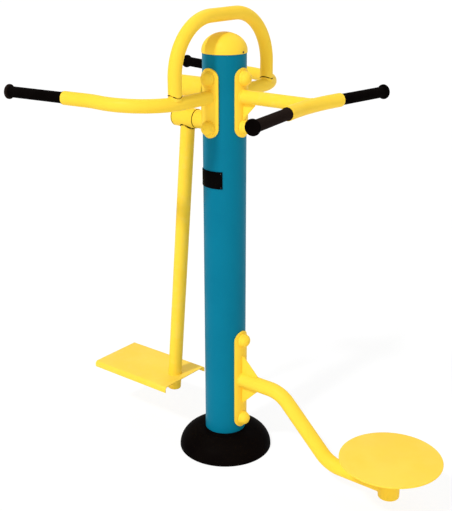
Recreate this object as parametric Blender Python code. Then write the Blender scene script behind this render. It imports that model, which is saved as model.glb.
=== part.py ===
"""Outdoor fitness machine: one post with a twister disc on one side and a side swing on the other.

Frame: origin at the post's centre on the ground, +X towards the disc, +Z up, metres.
"""

import math

import bmesh
import bpy
from mathutils import Vector

# Shared small sizes
GAP = 0.0003
RUN_GAP = 0.0015
OVERRUN = 0.004

# Sides and steps of the round forms
ROUND_SIDES = 24
POST_SIDES = 48
TUBE_SIDES = 16
NUT_SIDES = 6
BEND_STEP_ANGLE = math.radians(15)
SHARP_ANGLE = math.radians(40)

# Post
POST_RADIUS = 0.070
POST_WALL = 0.004

# Ground flange, its anchors and ribs, and the cover over them
FLANGE_THICKNESS = 0.012
FLANGE_MARGIN = 0.030
ANCHOR_OFFSET = 0.040
ANCHOR_HOLE_RADIUS = 0.009
ANCHOR_STUD_RADIUS = 0.008
ANCHOR_NUT_RADIUS = 0.0145
ANCHOR_NUT_HEIGHT = 0.013
ANCHOR_STUD_REACH = 0.006
ANCHOR_COUNT = 4
RIB_REACH = 0.052
RIB_HEIGHT = 0.042
RIB_THICKNESS = 0.008
RIB_NOSE = 0.008
COVER_MARGIN = 0.0215
COVER_HEIGHT = 0.071
COVER_WALL = 0.003
COVER_SKIRT = 0.002
COVER_COLLAR = 0.012
COVER_STEPS = 6
COVER_SIDES = 32

# Height of every handle tube above the ground, which the post and its cap follow
HANDLE_HEIGHT = 1.252

# Cap on top of the post
CAP_RISE = 0.1275
CAP_LAP = 0.004
CAP_WALL = 0.0016
CAP_BAND = 0.0075
CAP_DOME = 0.0575
CAP_STEPS = 5
CAP_SIDES = 32

# Saddle plates that hold every bracket
SADDLE_THICKNESS = 0.006
SADDLE_WIDTH = 0.064
SADDLE_BEVEL = 0.0022
SADDLE_BEVEL_ANGLE = math.radians(50)
SADDLE_COLUMNS = 8
SADDLE_OVER_COVER = 0.025
LOWER_SADDLE_HEIGHT = 0.360
UPPER_BOLT_RISE = 0.0565
LOWER_BOLT_DROP = 0.0965
BOLT_INSET = 0.032
SIDE_PLATE_TURN_ANGLE = math.radians(2.5)
SWING_PLATE_HEAD = 0.0285
SWING_PLATE_FOOT = 0.0065

# Capped bolts
BOLT_CAP_RADIUS = 0.0232
BOLT_CAP_SKIRT = 0.008
BOLT_CAP_DOME = 0.017
BOLT_SHANK_RADIUS = 0.006
BOLT_HOLE_CLEARANCE = 0.0005
BOLT_NUT_RADIUS = 0.011
BOLT_NUT_HEIGHT = 0.010
BOLT_SIDES = 14
BOLT_DOME_STEPS = 3
BUTTON_HEAD_RADIUS = 0.011
BUTTON_HEAD_HEIGHT = 0.006
BUTTON_START_ANGLE = math.radians(30)
BUTTON_STEPS = 2

# Handle tubes, grips and the stubs that carry the grips
TUBE_RADIUS = 0.0212
TUBE_WALL = 0.0026
GRIP_RADIUS = 0.0174
GRIP_LENGTH = 0.213
GRIP_COLLAR_RADIUS = 0.0198
GRIP_COLLAR_LENGTH = 0.0025
GRIP_FLANGE_RADIUS = 0.0235
GRIP_FLANGE_LENGTH = 0.009
GRIP_END_WALL = 0.006
GRIP_EDGE = 0.002
STUB_RADIUS = 0.0125
STUB_PLUG_LENGTH = 0.030
STUB_COLLAR_LENGTH = 0.004

# Twister handlebar
BAR_DISTANCE = 0.3295
BAR_SWEEP_ANGLE = math.radians(8.9)
BAR_BOW_HALF = 0.113
BAR_BOW_STEPS = 6
BAR_STRAIGHT = 0.0255
BAR_SIDE_OFFSET = 0.007
TWIST_GUSSET_REACH = 0.046
GUSSET_THICKNESS = 0.006
GUSSET_NOSE = 0.004
GUSSET_CLEARANCE = 0.001

# Side handles, from the plates at the left and right of the post
SIDE_REACH = 0.3715
SIDE_BEND_RADIUS = 0.182
SIDE_KNEE_GAP = 0.028
SIDE_KNEE_RADIUS = 0.220
SIDE_KNEE_RISE = 0.0075
SIDE_END_REACH = 0.0995
SIDE_END_FLARE = 0.0182
SIDE_END_RISE = 0.0015

# Hoop over the post, which lands where the side handles start to bend
HOOP_PAST_BEND = 0.0412
HOOP_OVER_CAP = 0.0308
HOOP_BEND_SHARE = 0.737

# Swing pivot on the back of the post, and the stub above it
PIVOT_DROP = 0.092
PIVOT_HOUSING_RADIUS = 0.030
PIVOT_HOUSING_REACH = 0.0353
PIVOT_SHAFT_RADIUS = 0.0125
SLEEVE_RADIUS = 0.032
SLEEVE_WALL = 0.006
SLEEVE_LENGTH = 0.0847
SLEEVE_CAP_THICKNESS = 0.004
SLEEVE_CAP_PLUG = 0.006
BEARING_LENGTH = 0.015
BEARING_INSET = 0.006
STOP_RISE = 0.105
STOP_RADIUS = 0.032
STOP_REACH = 0.1154
STOP_WALL = 0.004

# Swing arm and foot board
ARM_RADIUS = 0.02415
ARM_WALL = 0.003
ARM_FROM_SLEEVE_END = 0.0465
ARM_LEAN_ANGLE = math.radians(4.99)
ARM_FOOT_DROP = 0.0535
ARM_FOOT_PLUG = 0.020
ARM_FOOT_CAP = 0.003
BOARD_HEAD = 0.050
BOARD_LENGTH = 0.351
BOARD_HALF_WIDTH = 0.110
BOARD_TOP = 0.2055
BOARD_SHEET = 0.003
BOARD_EDGE_RADIUS = 0.011
BOARD_LIP = 0.011
BOARD_ARC_STEPS = 5

# Disc station
DISC_DISTANCE = 0.657
DISC_RADIUS = 0.1618
DISC_TOP = 0.183
DISC_THICKNESS = 0.005
DISC_EDGE = 0.0018
DISC_ARM_RADIUS = 0.0248
DISC_ARM_LOW = 0.0785
DISC_ARM_BEND_START = 0.235
DISC_ARM_BEND_END = 0.436
DISC_ARM_BEND_RADIUS = 0.105
DISC_GUSSET_REACH = 0.062
HUB_RADIUS = 0.034
HUB_WALL = 0.006
HUB_BOTTOM = 0.050
HUB_FLOOR = 0.005
HUB_FLANGE_RADIUS = 0.055
HUB_FLANGE_THICKNESS = 0.008
HUB_TOP_GAP = 0.002

# Radii around the post's axis that follow from the post
SADDLE_INNER = POST_RADIUS + GAP
SADDLE_OUTER = SADDLE_INNER + SADDLE_THICKNESS
BRACKET_START = SADDLE_OUTER + GAP
ANCHOR_CIRCLE_RADIUS = POST_RADIUS + ANCHOR_OFFSET
FLANGE_RADIUS = ANCHOR_CIRCLE_RADIUS + FLANGE_MARGIN
COVER_RADIUS = FLANGE_RADIUS + COVER_MARGIN
COVER_COLLAR_RADIUS = POST_RADIUS + COVER_COLLAR

# Distances behind the post that follow from its brackets
PIVOT_HOUSING_END = BRACKET_START + PIVOT_HOUSING_REACH
SLEEVE_START = PIVOT_HOUSING_END + RUN_GAP
SLEEVE_END = SLEEVE_START + SLEEVE_LENGTH
STOP_END = BRACKET_START + STOP_REACH
ARM_TOP_BACK = SLEEVE_END - ARM_FROM_SLEEVE_END
SIDE_KNEE_BACK = SIDE_BEND_RADIUS + SIDE_KNEE_GAP

# Heights that follow from the handles
CAP_RIM_HEIGHT = HANDLE_HEIGHT + CAP_RISE
POST_TOP = CAP_RIM_HEIGHT + CAP_LAP
CAP_TOP = CAP_RIM_HEIGHT + CAP_BAND + CAP_DOME
HOOP_TOP = CAP_TOP + HOOP_OVER_CAP + TUBE_RADIUS
UPPER_SADDLE_HEIGHT = BOLT_INSET + UPPER_BOLT_RISE + LOWER_BOLT_DROP + BOLT_INSET
UPPER_SADDLE_MIDDLE = HANDLE_HEIGHT + (UPPER_BOLT_RISE - LOWER_BOLT_DROP) / 2
PIVOT_HEIGHT = HANDLE_HEIGHT - PIVOT_DROP
STOP_HEIGHT = PIVOT_HEIGHT + STOP_RISE
SWING_SADDLE_LOW = PIVOT_HEIGHT - PIVOT_HOUSING_RADIUS - SWING_PLATE_FOOT
SWING_SADDLE_TOP = STOP_HEIGHT + STOP_RADIUS + SWING_PLATE_HEAD
SWING_SADDLE_HEIGHT = SWING_SADDLE_TOP - SWING_SADDLE_LOW
SWING_SADDLE_MIDDLE = (SWING_SADDLE_TOP + SWING_SADDLE_LOW) / 2
TWIST_GUSSET_DROP = LOWER_BOLT_DROP - BOLT_CAP_RADIUS - TUBE_RADIUS - GUSSET_CLEARANCE

# Heights that follow from the cover and the board
LOWER_SADDLE_MIDDLE = COVER_HEIGHT + SADDLE_OVER_COVER + LOWER_SADDLE_HEIGHT / 2
DISC_ARM_HEIGHT = LOWER_SADDLE_MIDDLE
ARM_FOOT_HEIGHT = BOARD_TOP - ARM_FOOT_DROP

# Hoop's feet on the bends of the side handles
HOOP_HALF_WIDTH = SIDE_REACH - SIDE_BEND_RADIUS + HOOP_PAST_BEND
HOOP_BEND_RADIUS = HOOP_HALF_WIDTH * HOOP_BEND_SHARE
HOOP_BACK = SIDE_BEND_RADIUS - math.sqrt(SIDE_BEND_RADIUS ** 2 - HOOP_PAST_BEND ** 2)


def clear_scene():
    for item in list(bpy.data.objects):
        bpy.data.objects.remove(item, do_unlink=True)


def plain_material(name, colour, roughness, metallic):
    material = bpy.data.materials.new(name)
    material.use_nodes = True
    shader = material.node_tree.nodes["Principled BSDF"]
    shader.inputs["Base Color"].default_value = colour
    shader.inputs["Roughness"].default_value = roughness
    shader.inputs["Metallic"].default_value = metallic
    material.diffuse_color = colour
    return material


def yellow_coat(name):
    return plain_material(name, (0.93, 0.63, 0.04, 1.0), 0.38, 0.0)


def teal_coat(name):
    return plain_material(name, (0.008, 0.19, 0.30, 1.0), 0.35, 0.0)


def black_plastic(name):
    return plain_material(name, (0.012, 0.010, 0.010, 1.0), 0.45, 0.0)


def bare_steel(name):
    return plain_material(name, (0.55, 0.55, 0.56, 1.0), 0.35, 1.0)


def finish_object(name, mesh_builder, material):
    """Turn a bmesh into a named object with its own material."""
    bmesh.ops.recalc_face_normals(mesh_builder, faces=mesh_builder.faces)
    mesh = bpy.data.meshes.new(name)
    mesh_builder.to_mesh(mesh)
    mesh_builder.free()
    mesh.shade_smooth()
    mesh.set_sharp_from_angle(angle=SHARP_ANGLE)
    piece = bpy.data.objects.new(name, mesh)
    bpy.context.scene.collection.objects.link(piece)
    if material is not None:
        mesh.materials.append(material)
    return piece


def cutter_object(name, mesh_builder):
    cutter = finish_object(name, mesh_builder, None)
    cutter.hide_render = True
    cutter.display_type = "WIRE"
    return cutter


def cut_with(piece, cutter):
    modifier = piece.modifiers.new("cut by " + cutter.name, "BOOLEAN")
    modifier.operation = "DIFFERENCE"
    modifier.solver = "EXACT"
    modifier.object = cutter


def revolve(profile, sides):
    """Turn a profile of (radius, height) points about Z.

    A profile that starts off the axis is closed back to its start, so it makes a ring or a cup.
    """
    builder = bmesh.new()
    rings = []
    for radius, height in profile:
        if radius == 0:
            rings.append([builder.verts.new((0, 0, height))])
            continue
        ring = []
        for side in range(sides):
            angle = math.tau * side / sides
            ring.append(builder.verts.new((radius * math.cos(angle), radius * math.sin(angle), height)))
        rings.append(ring)
    pairs = list(zip(rings[:-1], rings[1:]))
    if profile[0][0] != 0:
        pairs.append((rings[-1], rings[0]))
    for lower, upper in pairs:
        if len(lower) > 1 or len(upper) > 1:
            bridge(builder, lower, upper)
    return builder


def bridge(builder, lower, upper):
    """Join two rings of equal length, or a ring and a single tip."""
    count = max(len(lower), len(upper))
    for side in range(count):
        following = (side + 1) % count
        if len(lower) == 1:
            corners = (lower[0], upper[following], upper[side])
        elif len(upper) == 1:
            corners = (lower[side], lower[following], upper[0])
        else:
            corners = (lower[side], lower[following], upper[following], upper[side])
        builder.faces.new(corners)


def inside(radius, sides):
    """The largest radius that clears the flats of a bore with so many sides."""
    return radius * math.cos(math.pi / sides) - GAP


def around(radius, sides):
    """The smallest bore radius whose flats, with so many sides, clear a round piece."""
    return (radius + GAP) / math.cos(math.pi / sides)


def arc_profile(centre_radius, centre_height, radius_across, radius_up, start, end, steps):
    """Points of an elliptical arc in the radius and height plane, angles from the outward direction."""
    points = []
    for step in range(steps + 1):
        angle = start + (end - start) * step / steps
        across = centre_radius + radius_across * math.cos(angle)
        up = centre_height + radius_up * math.sin(angle)
        points.append((across, up))
    return points


def rounded_route(corners, radii):
    """A route through corner points with an arc at each inner corner."""
    points = [Vector(corners[0])]
    for index in range(1, len(corners) - 1):
        corner = Vector(corners[index])
        before = (Vector(corners[index - 1]) - corner).normalized()
        after = (Vector(corners[index + 1]) - corner).normalized()
        turn = math.pi - before.angle(after)
        steps = math.ceil(round(turn / BEND_STEP_ANGLE, 3))
        setback = radii[index - 1] * math.tan(turn / 2)
        middle = (before + after).normalized()
        centre = corner + middle * (radii[index - 1] / math.cos(turn / 2))
        start = corner + before * setback - centre
        end = corner + after * setback - centre
        for step in range(steps + 1):
            share = step / steps
            weight_start = math.sin((1 - share) * turn) / math.sin(turn)
            weight_end = math.sin(share * turn) / math.sin(turn)
            points.append(centre + start * weight_start + end * weight_end)
    points.append(Vector(corners[-1]))
    return points


def route_frames(points):
    """Two directions square to the route at each of its points, carried along without twist."""
    legs = [(after - before).normalized() for before, after in zip(points[:-1], points[1:])]
    tangents = [legs[0]]
    tangents += [(before + after).normalized() for before, after in zip(legs[:-1], legs[1:])]
    tangents.append(legs[-1])
    across = tangents[0].orthogonal().normalized()
    frames = []
    for tangent in tangents:
        across = (across - tangent * across.dot(tangent)).normalized()
        frames.append((across.copy(), tangent.cross(across).normalized()))
    return frames


def sweep_rings(builder, points, radius, sides):
    rings = []
    for point, (across, up) in zip(points, route_frames(points)):
        ring = []
        for side in range(sides):
            angle = math.tau * side / sides
            offset = (across * math.cos(angle) + up * math.sin(angle)) * radius
            ring.append(builder.verts.new(point + offset))
        rings.append(ring)
    return rings


def tube_mesh(points, radius, wall, sides=TUBE_SIDES):
    """A hollow tube with open ends along a route."""
    builder = bmesh.new()
    outer = sweep_rings(builder, points, radius, sides)
    inner = sweep_rings(builder, points, radius - wall, sides)
    for lower, upper in zip(outer[:-1], outer[1:]):
        bridge(builder, lower, upper)
    for lower, upper in zip(inner[:-1], inner[1:]):
        bridge(builder, lower, upper)
    bridge(builder, outer[0], inner[0])
    bridge(builder, outer[-1], inner[-1])
    return builder


def rod_mesh(points, radius, sides=TUBE_SIDES):
    """A solid rod along a route."""
    builder = bmesh.new()
    rings = sweep_rings(builder, points, radius, sides)
    for lower, upper in zip(rings[:-1], rings[1:]):
        bridge(builder, lower, upper)
    builder.faces.new(rings[0])
    builder.faces.new(rings[-1])
    return builder


def prism_mesh(outline, thickness):
    """A flat plate in the XZ plane, centred on Y."""
    builder = bmesh.new()
    sides = []
    for across in (-thickness / 2, thickness / 2):
        sides.append([builder.verts.new((x, across, z)) for x, z in outline])
    builder.faces.new(sides[0])
    builder.faces.new(sides[1])
    bridge(builder, sides[0], sides[1])
    return builder


def place_along(piece, start, direction):
    """Put a piece that was turned about Z at a point, with its Z along a direction."""
    turn = Vector((0, 0, 1)).rotation_difference(Vector(direction).normalized())
    piece.rotation_mode = "QUATERNION"
    piece.rotation_quaternion = turn
    piece.location = Vector(start)


def post_side(angle, distance, height):
    return Vector((distance * math.cos(angle), distance * math.sin(angle), height))


# Directions of the brackets around the post
TWIST_SIDE = 0.0
RIGHT_SIDE = math.pi / 2 + SIDE_PLATE_TURN_ANGLE
SWING_SIDE = math.pi
LEFT_SIDE = -RIGHT_SIDE


def bolt_heights(middle, height):
    half_pitch = height / 2 - BOLT_INSET
    return {"upper": middle + half_pitch, "lower": middle - half_pitch}


SWING_BOLTS = {
    "upper": (STOP_HEIGHT + STOP_RADIUS + SWING_SADDLE_TOP) / 2,
    "lower": (STOP_HEIGHT - STOP_RADIUS + PIVOT_HEIGHT + PIVOT_HOUSING_RADIUS) / 2,
}

BOLT_GROUPS = (
    ("twist", TWIST_SIDE, bolt_heights(UPPER_SADDLE_MIDDLE, UPPER_SADDLE_HEIGHT), True),
    ("left", LEFT_SIDE, bolt_heights(UPPER_SADDLE_MIDDLE, UPPER_SADDLE_HEIGHT), True),
    ("right", RIGHT_SIDE, bolt_heights(UPPER_SADDLE_MIDDLE, UPPER_SADDLE_HEIGHT), True),
    ("swing", SWING_SIDE, SWING_BOLTS, False),
    ("disc", TWIST_SIDE, bolt_heights(LOWER_SADDLE_MIDDLE, LOWER_SADDLE_HEIGHT), True),
)


def bolt_hole_cutters():
    """One cutter for each bolt, through its saddle plate and the post's wall."""
    cutters = {}
    start = POST_RADIUS - POST_WALL - OVERRUN
    end = SADDLE_OUTER + OVERRUN
    radius = BOLT_SHANK_RADIUS + BOLT_HOLE_CLEARANCE
    for group, angle, heights, _ in BOLT_GROUPS:
        for level, height in heights.items():
            ends = [post_side(angle, start, height), post_side(angle, end, height)]
            cutter = cutter_object("hole_" + group + "_" + level, rod_mesh(ends, radius, BOLT_SIDES))
            cutters[(group, level)] = cutter
    return cutters


def make_post(holes):
    inner = POST_RADIUS - POST_WALL
    low = FLANGE_THICKNESS + GAP
    profile = [(POST_RADIUS, low), (POST_RADIUS, POST_TOP), (inner, POST_TOP), (inner, low)]
    post = finish_object("main_post", revolve(profile, POST_SIDES), teal_coat("teal_post_coat"))
    for cutter in holes.values():
        cut_with(post, cutter)


def make_flange():
    profile = [(0, 0), (FLANGE_RADIUS, 0), (FLANGE_RADIUS, FLANGE_THICKNESS), (0, FLANGE_THICKNESS)]
    flange = finish_object("base_flange", revolve(profile, POST_SIDES), teal_coat("teal_flange_coat"))
    for number in range(ANCHOR_COUNT):
        spot = post_side(anchor_angle(number), ANCHOR_CIRCLE_RADIUS, 0)
        ends = [spot - Vector((0, 0, OVERRUN)), spot + Vector((0, 0, FLANGE_THICKNESS + OVERRUN))]
        cutter = cutter_object(f"hole_anchor_{number + 1}", rod_mesh(ends, ANCHOR_HOLE_RADIUS, BOLT_SIDES))
        cut_with(flange, cutter)


def anchor_angle(number):
    return math.tau * (number + 0.5) / ANCHOR_COUNT


def make_anchor(number):
    nut_low = FLANGE_THICKNESS + GAP
    nut_high = nut_low + ANCHOR_NUT_HEIGHT
    tip = nut_high + ANCHOR_STUD_REACH
    profile = [(0, 0), (ANCHOR_STUD_RADIUS, 0), (ANCHOR_STUD_RADIUS, nut_low), (ANCHOR_NUT_RADIUS, nut_low)]
    profile += [(ANCHOR_NUT_RADIUS, nut_high), (ANCHOR_STUD_RADIUS, nut_high)]
    profile += [(ANCHOR_STUD_RADIUS, tip), (0, tip)]
    name = f"anchor_bolt_{number + 1}"
    anchor = finish_object(name, revolve(profile, NUT_SIDES), bare_steel(name + "_steel"))
    anchor.location = post_side(anchor_angle(number), ANCHOR_CIRCLE_RADIUS, 0)


def make_rib(number):
    start = POST_RADIUS + GAP
    low = FLANGE_THICKNESS + GAP
    end = start + RIB_REACH
    outline = [(start, low), (end, low), (end, low + RIB_NOSE)]
    outline += [(start + RIB_NOSE, low + RIB_HEIGHT), (start, low + RIB_HEIGHT)]
    name = f"base_rib_{number + 1}"
    rib = finish_object(name, prism_mesh(outline, RIB_THICKNESS), teal_coat(name + "_coat"))
    rib.rotation_euler = (0, 0, math.tau * number / ANCHOR_COUNT)


def cover_profile(shrink, foot):
    """The outer line of the base cover, drawn in by the wall for the inner line."""
    across = COVER_RADIUS - COVER_COLLAR_RADIUS - shrink
    up = COVER_HEIGHT - COVER_SKIRT - shrink
    points = [(COVER_RADIUS - shrink, foot)]
    points += arc_profile(COVER_COLLAR_RADIUS, COVER_SKIRT, across, up, 0, math.pi / 2, COVER_STEPS)
    points.append((around(POST_RADIUS, COVER_SIDES), COVER_HEIGHT - shrink))
    return points


def make_base_cover():
    profile = cover_profile(0, 0) + list(reversed(cover_profile(COVER_WALL, 0)))
    cover = revolve(profile, COVER_SIDES)
    finish_object("base_cover", cover, black_plastic("black_cover"))


def make_dome_cap():
    inner = around(POST_RADIUS, CAP_SIDES)
    outer = inner + CAP_WALL
    spring = CAP_RIM_HEIGHT + CAP_BAND
    seat = POST_TOP + GAP
    quarter = math.pi / 2
    profile = [(inner, CAP_RIM_HEIGHT), (outer, CAP_RIM_HEIGHT)]
    profile += arc_profile(0, spring, outer, CAP_DOME, 0, quarter, CAP_STEPS)[:-1]
    profile.append((0, spring + CAP_DOME))
    profile.append((0, spring + CAP_DOME - CAP_WALL))
    hollow = arc_profile(0, spring, inner - CAP_WALL, CAP_DOME - CAP_WALL, quarter, 0, CAP_STEPS)[1:]
    profile += hollow
    profile += [(inner - CAP_WALL, seat), (inner, seat)]
    finish_object("dome_cap", revolve(profile, CAP_SIDES), yellow_coat("yellow_cap"))


def saddle_mesh(height):
    """A plate with round ends, wrapped on the post, standing on the XZ plane's +X side."""
    builder = bmesh.new()
    half_width = SADDLE_WIDTH / 2
    straight = height / 2 - half_width
    widest_step = half_width / SADDLE_OUTER * math.sin(math.pi / SADDLE_COLUMNS)
    inner = SADDLE_INNER / math.cos(widest_step / 2)
    columns = []
    for column in range(SADDLE_COLUMNS + 1):
        bearing = math.pi * (column / SADDLE_COLUMNS - 0.5)
        across = half_width * math.sin(bearing)
        reach = straight + half_width * math.cos(bearing)
        angle = across / SADDLE_OUTER
        corners = []
        for radius in (SADDLE_OUTER, inner):
            for level in (reach, -reach):
                spot = post_side(angle, radius, level)
                corners.append(builder.verts.new(spot))
        columns.append(corners)
    for left, right in zip(columns[:-1], columns[1:]):
        builder.faces.new((left[0], left[1], right[1], right[0]))
        builder.faces.new((left[2], right[2], right[3], left[3]))
        builder.faces.new((left[0], right[0], right[2], left[2]))
        builder.faces.new((left[1], left[3], right[3], right[1]))
    for corners in (columns[0], columns[-1]):
        builder.faces.new((corners[0], corners[1], corners[3], corners[2]))
    return builder


def round_saddle_edge(builder):
    """Round the outer edge of a saddle plate."""
    bmesh.ops.recalc_face_normals(builder, faces=builder.faces)
    edges = []
    for edge in builder.edges:
        on_outside = all(math.hypot(vert.co.x, vert.co.y) > SADDLE_OUTER - GAP for vert in edge.verts)
        if on_outside and edge.calc_face_angle() > SADDLE_BEVEL_ANGLE:
            edges.append(edge)
    bmesh.ops.bevel(builder, geom=edges, offset=SADDLE_BEVEL, segments=1, profile=0.5, affect="EDGES")


def make_saddle(group, angle, middle, height, holes):
    builder = saddle_mesh(height)
    round_saddle_edge(builder)
    name = group + "_saddle"
    saddle = finish_object(name, builder, yellow_coat(name + "_coat"))
    saddle.rotation_euler = (0, 0, angle)
    saddle.location = (0, 0, middle)
    for level in ("upper", "lower"):
        cut_with(saddle, holes[(group, level)])


def make_bolt(group, angle, level, height, capped):
    """A bolt through a saddle plate and the post's wall, with its nut inside and its cap outside."""
    nut_end = POST_RADIUS - POST_WALL - BOLT_NUT_RADIUS * BOLT_NUT_RADIUS / POST_RADIUS
    nut_start = nut_end - BOLT_NUT_HEIGHT
    seat = BRACKET_START
    profile = [(0, nut_start), (BOLT_NUT_RADIUS, nut_start), (BOLT_NUT_RADIUS, nut_end)]
    profile += [(BOLT_SHANK_RADIUS, nut_end), (BOLT_SHANK_RADIUS, seat)]
    quarter = math.pi / 2
    if capped:
        spring = seat + BOLT_CAP_SKIRT
        profile.append((BOLT_CAP_RADIUS, seat))
        dome = arc_profile(0, spring, BOLT_CAP_RADIUS, BOLT_CAP_DOME, 0, quarter, BOLT_DOME_STEPS)
        profile += dome[:-1] + [(0, spring + BOLT_CAP_DOME)]
    else:
        profile.append((BUTTON_HEAD_RADIUS, seat))
        head = arc_profile(
            0, seat, BUTTON_HEAD_RADIUS, BUTTON_HEAD_HEIGHT, BUTTON_START_ANGLE, quarter, BUTTON_STEPS
        )
        profile += head[:-1] + [(0, seat + BUTTON_HEAD_HEIGHT)]
    name = f"{group}_bolt_{level}"
    material = yellow_coat(name + "_cap") if capped else bare_steel(name + "_steel")
    bolt = finish_object(name, revolve(profile, BOLT_SIDES), material)
    place_along(bolt, (0, 0, height), post_side(angle, 1, 0))


def saddle_cutter(name, middle, height):
    """A round block with the saddle's outer radius, which copes the tubes that land on it."""
    low = middle - height / 2
    ends = [Vector((0, 0, low)), Vector((0, 0, low + height))]
    return cutter_object(name, rod_mesh(ends, BRACKET_START, POST_SIDES))


def make_stub_and_grip(name, tube_end, direction, coat):
    """The turned stub that closes a tube's end and carries a grip, and the grip on it."""
    bore = inside(TUBE_RADIUS - TUBE_WALL, TUBE_SIDES)
    collar = STUB_COLLAR_LENGTH + GAP
    stub_length = GRIP_LENGTH - GRIP_END_WALL
    profile = [(0, -STUB_PLUG_LENGTH), (bore, -STUB_PLUG_LENGTH), (bore, GAP), (TUBE_RADIUS, GAP)]
    profile += [(TUBE_RADIUS, collar), (STUB_RADIUS, collar)]
    profile += [(STUB_RADIUS, stub_length), (0, stub_length)]
    stub = finish_object(name + "_stub", revolve(profile, TUBE_SIDES), coat)
    place_along(stub, tube_end, direction)
    start = collar + GAP
    end = start + GRIP_LENGTH
    grip_bore = STUB_RADIUS + GAP
    flange = end - GRIP_FLANGE_LENGTH
    profile = [(0, stub_length + GAP), (grip_bore, stub_length + GAP), (grip_bore, start)]
    profile += [(GRIP_COLLAR_RADIUS, start), (GRIP_COLLAR_RADIUS, start + GRIP_COLLAR_LENGTH)]
    profile += [(GRIP_RADIUS, start + GRIP_COLLAR_LENGTH + GRIP_EDGE), (GRIP_RADIUS, flange - GRIP_EDGE)]
    profile += [(GRIP_FLANGE_RADIUS, flange), (GRIP_FLANGE_RADIUS, end - GRIP_EDGE)]
    profile += [(GRIP_FLANGE_RADIUS - GRIP_EDGE, end), (0, end)]
    grip = finish_object(name + "_grip", revolve(profile, TUBE_SIDES), black_plastic(name + "_rubber"))
    place_along(grip, tube_end, direction)


def make_twist_bar():
    """The handlebar, bowed towards the post, with a straight end and a grip at each side."""
    bow_radius = BAR_BOW_HALF / math.sin(BAR_SWEEP_ANGLE)
    centre = Vector((BAR_DISTANCE + bow_radius, -BAR_SIDE_OFFSET, HANDLE_HEIGHT))
    bow = []
    for step in range(BAR_BOW_STEPS + 1):
        angle = BAR_SWEEP_ANGLE * (2 * step / BAR_BOW_STEPS - 1)
        bow.append(centre + Vector((-math.cos(angle), math.sin(angle), 0)) * bow_radius)
    tips = []
    for side, end, sign in (("left", bow[0], -1), ("right", bow[-1], 1)):
        direction = Vector((math.sin(BAR_SWEEP_ANGLE), sign * math.cos(BAR_SWEEP_ANGLE), 0))
        tips.append(end + direction * BAR_STRAIGHT)
        make_stub_and_grip("twist_" + side, tips[-1], direction, yellow_coat("twist_stub_coat_" + side))
    bar = tube_mesh([tips[0]] + bow + [tips[-1]], TUBE_RADIUS, TUBE_WALL)
    finish_object("twist_bar", bar, yellow_coat("twist_bar_coat"))


def make_twist_arm():
    """The straight tube from the saddle plate to the handlebar, coped at both ends, and its gusset."""
    line = [Vector((SADDLE_INNER, 0, HANDLE_HEIGHT)), Vector((BAR_DISTANCE, 0, HANDLE_HEIGHT))]
    arm = finish_object("twist_arm", tube_mesh(line, TUBE_RADIUS, TUBE_WALL), yellow_coat("twist_arm_coat"))
    cut_with(arm, saddle_cutter("cope_twist", UPPER_SADDLE_MIDDLE, UPPER_SADDLE_HEIGHT))
    bar_line = [Vector((BAR_DISTANCE, sign * TUBE_RADIUS * 2, HANDLE_HEIGHT)) for sign in (-1, 1)]
    cut_with(arm, cutter_object("cope_bar", rod_mesh(bar_line, TUBE_RADIUS + GAP, ROUND_SIDES)))
    top = HANDLE_HEIGHT - TUBE_RADIUS - GAP
    gusset = gusset_outline(BRACKET_START, top, TWIST_GUSSET_REACH, -TWIST_GUSSET_DROP)
    finish_object("twist_gusset", prism_mesh(gusset, GUSSET_THICKNESS), yellow_coat("twist_gusset_coat"))


def gusset_outline(start, level, reach, rise):
    """A corner plate that stands on a tube at a level, against a saddle plate."""
    nose = math.copysign(GUSSET_NOSE, rise)
    outline = [(start, level), (start + reach, level), (start + reach, level + nose)]
    outline += [(start + GUSSET_NOSE, level + rise), (start, level + rise)]
    return outline


def side_route(sign):
    """The route of a side handle's tube: out from the post, then back past the swing's rider."""
    root = Vector((0, sign * SADDLE_INNER, HANDLE_HEIGHT))
    bend = Vector((0, sign * SIDE_REACH, HANDLE_HEIGHT))
    knee = Vector((-SIDE_KNEE_BACK, sign * SIDE_REACH, HANDLE_HEIGHT + SIDE_KNEE_RISE))
    end = knee + Vector((-SIDE_END_REACH, sign * SIDE_END_FLARE, SIDE_END_RISE))
    return rounded_route([root, bend, knee, end], (SIDE_BEND_RADIUS, SIDE_KNEE_RADIUS))


def make_side_handle(side, sign, cutter):
    route = side_route(sign)
    tube = tube_mesh(route, TUBE_RADIUS, TUBE_WALL)
    handle = finish_object(side + "_tube", tube, yellow_coat(side + "_tube_coat"))
    cut_with(handle, cutter)
    direction = (route[-1] - route[-2]).normalized()
    make_stub_and_grip(side, route[-1], direction, yellow_coat(side + "_stub_coat"))


def make_hoop():
    corners = []
    for side, height in ((-1, HANDLE_HEIGHT), (-1, HOOP_TOP), (1, HOOP_TOP), (1, HANDLE_HEIGHT)):
        corners.append(Vector((-HOOP_BACK, side * HOOP_HALF_WIDTH, height)))
    route = rounded_route(corners, (HOOP_BEND_RADIUS, HOOP_BEND_RADIUS))
    hoop = finish_object("hoop", tube_mesh(route, TUBE_RADIUS, TUBE_WALL), yellow_coat("hoop_coat"))
    for side, sign in (("left", -1), ("right", 1)):
        cutter = rod_mesh(side_route(sign)[:-1], TUBE_RADIUS + GAP, TUBE_SIDES)
        cut_with(hoop, cutter_object("cope_hoop_" + side, cutter))


def ring_along_x(name, outer, inner, start, end, sides, material):
    """A ring about the swing's axis, from one distance behind the post to another."""
    profile = [(outer, start), (outer, end), (inner, end), (inner, start)]
    ring = finish_object(name, revolve(profile, sides), material)
    place_along(ring, (0, 0, PIVOT_HEIGHT), (-1, 0, 0))
    return ring


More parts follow.
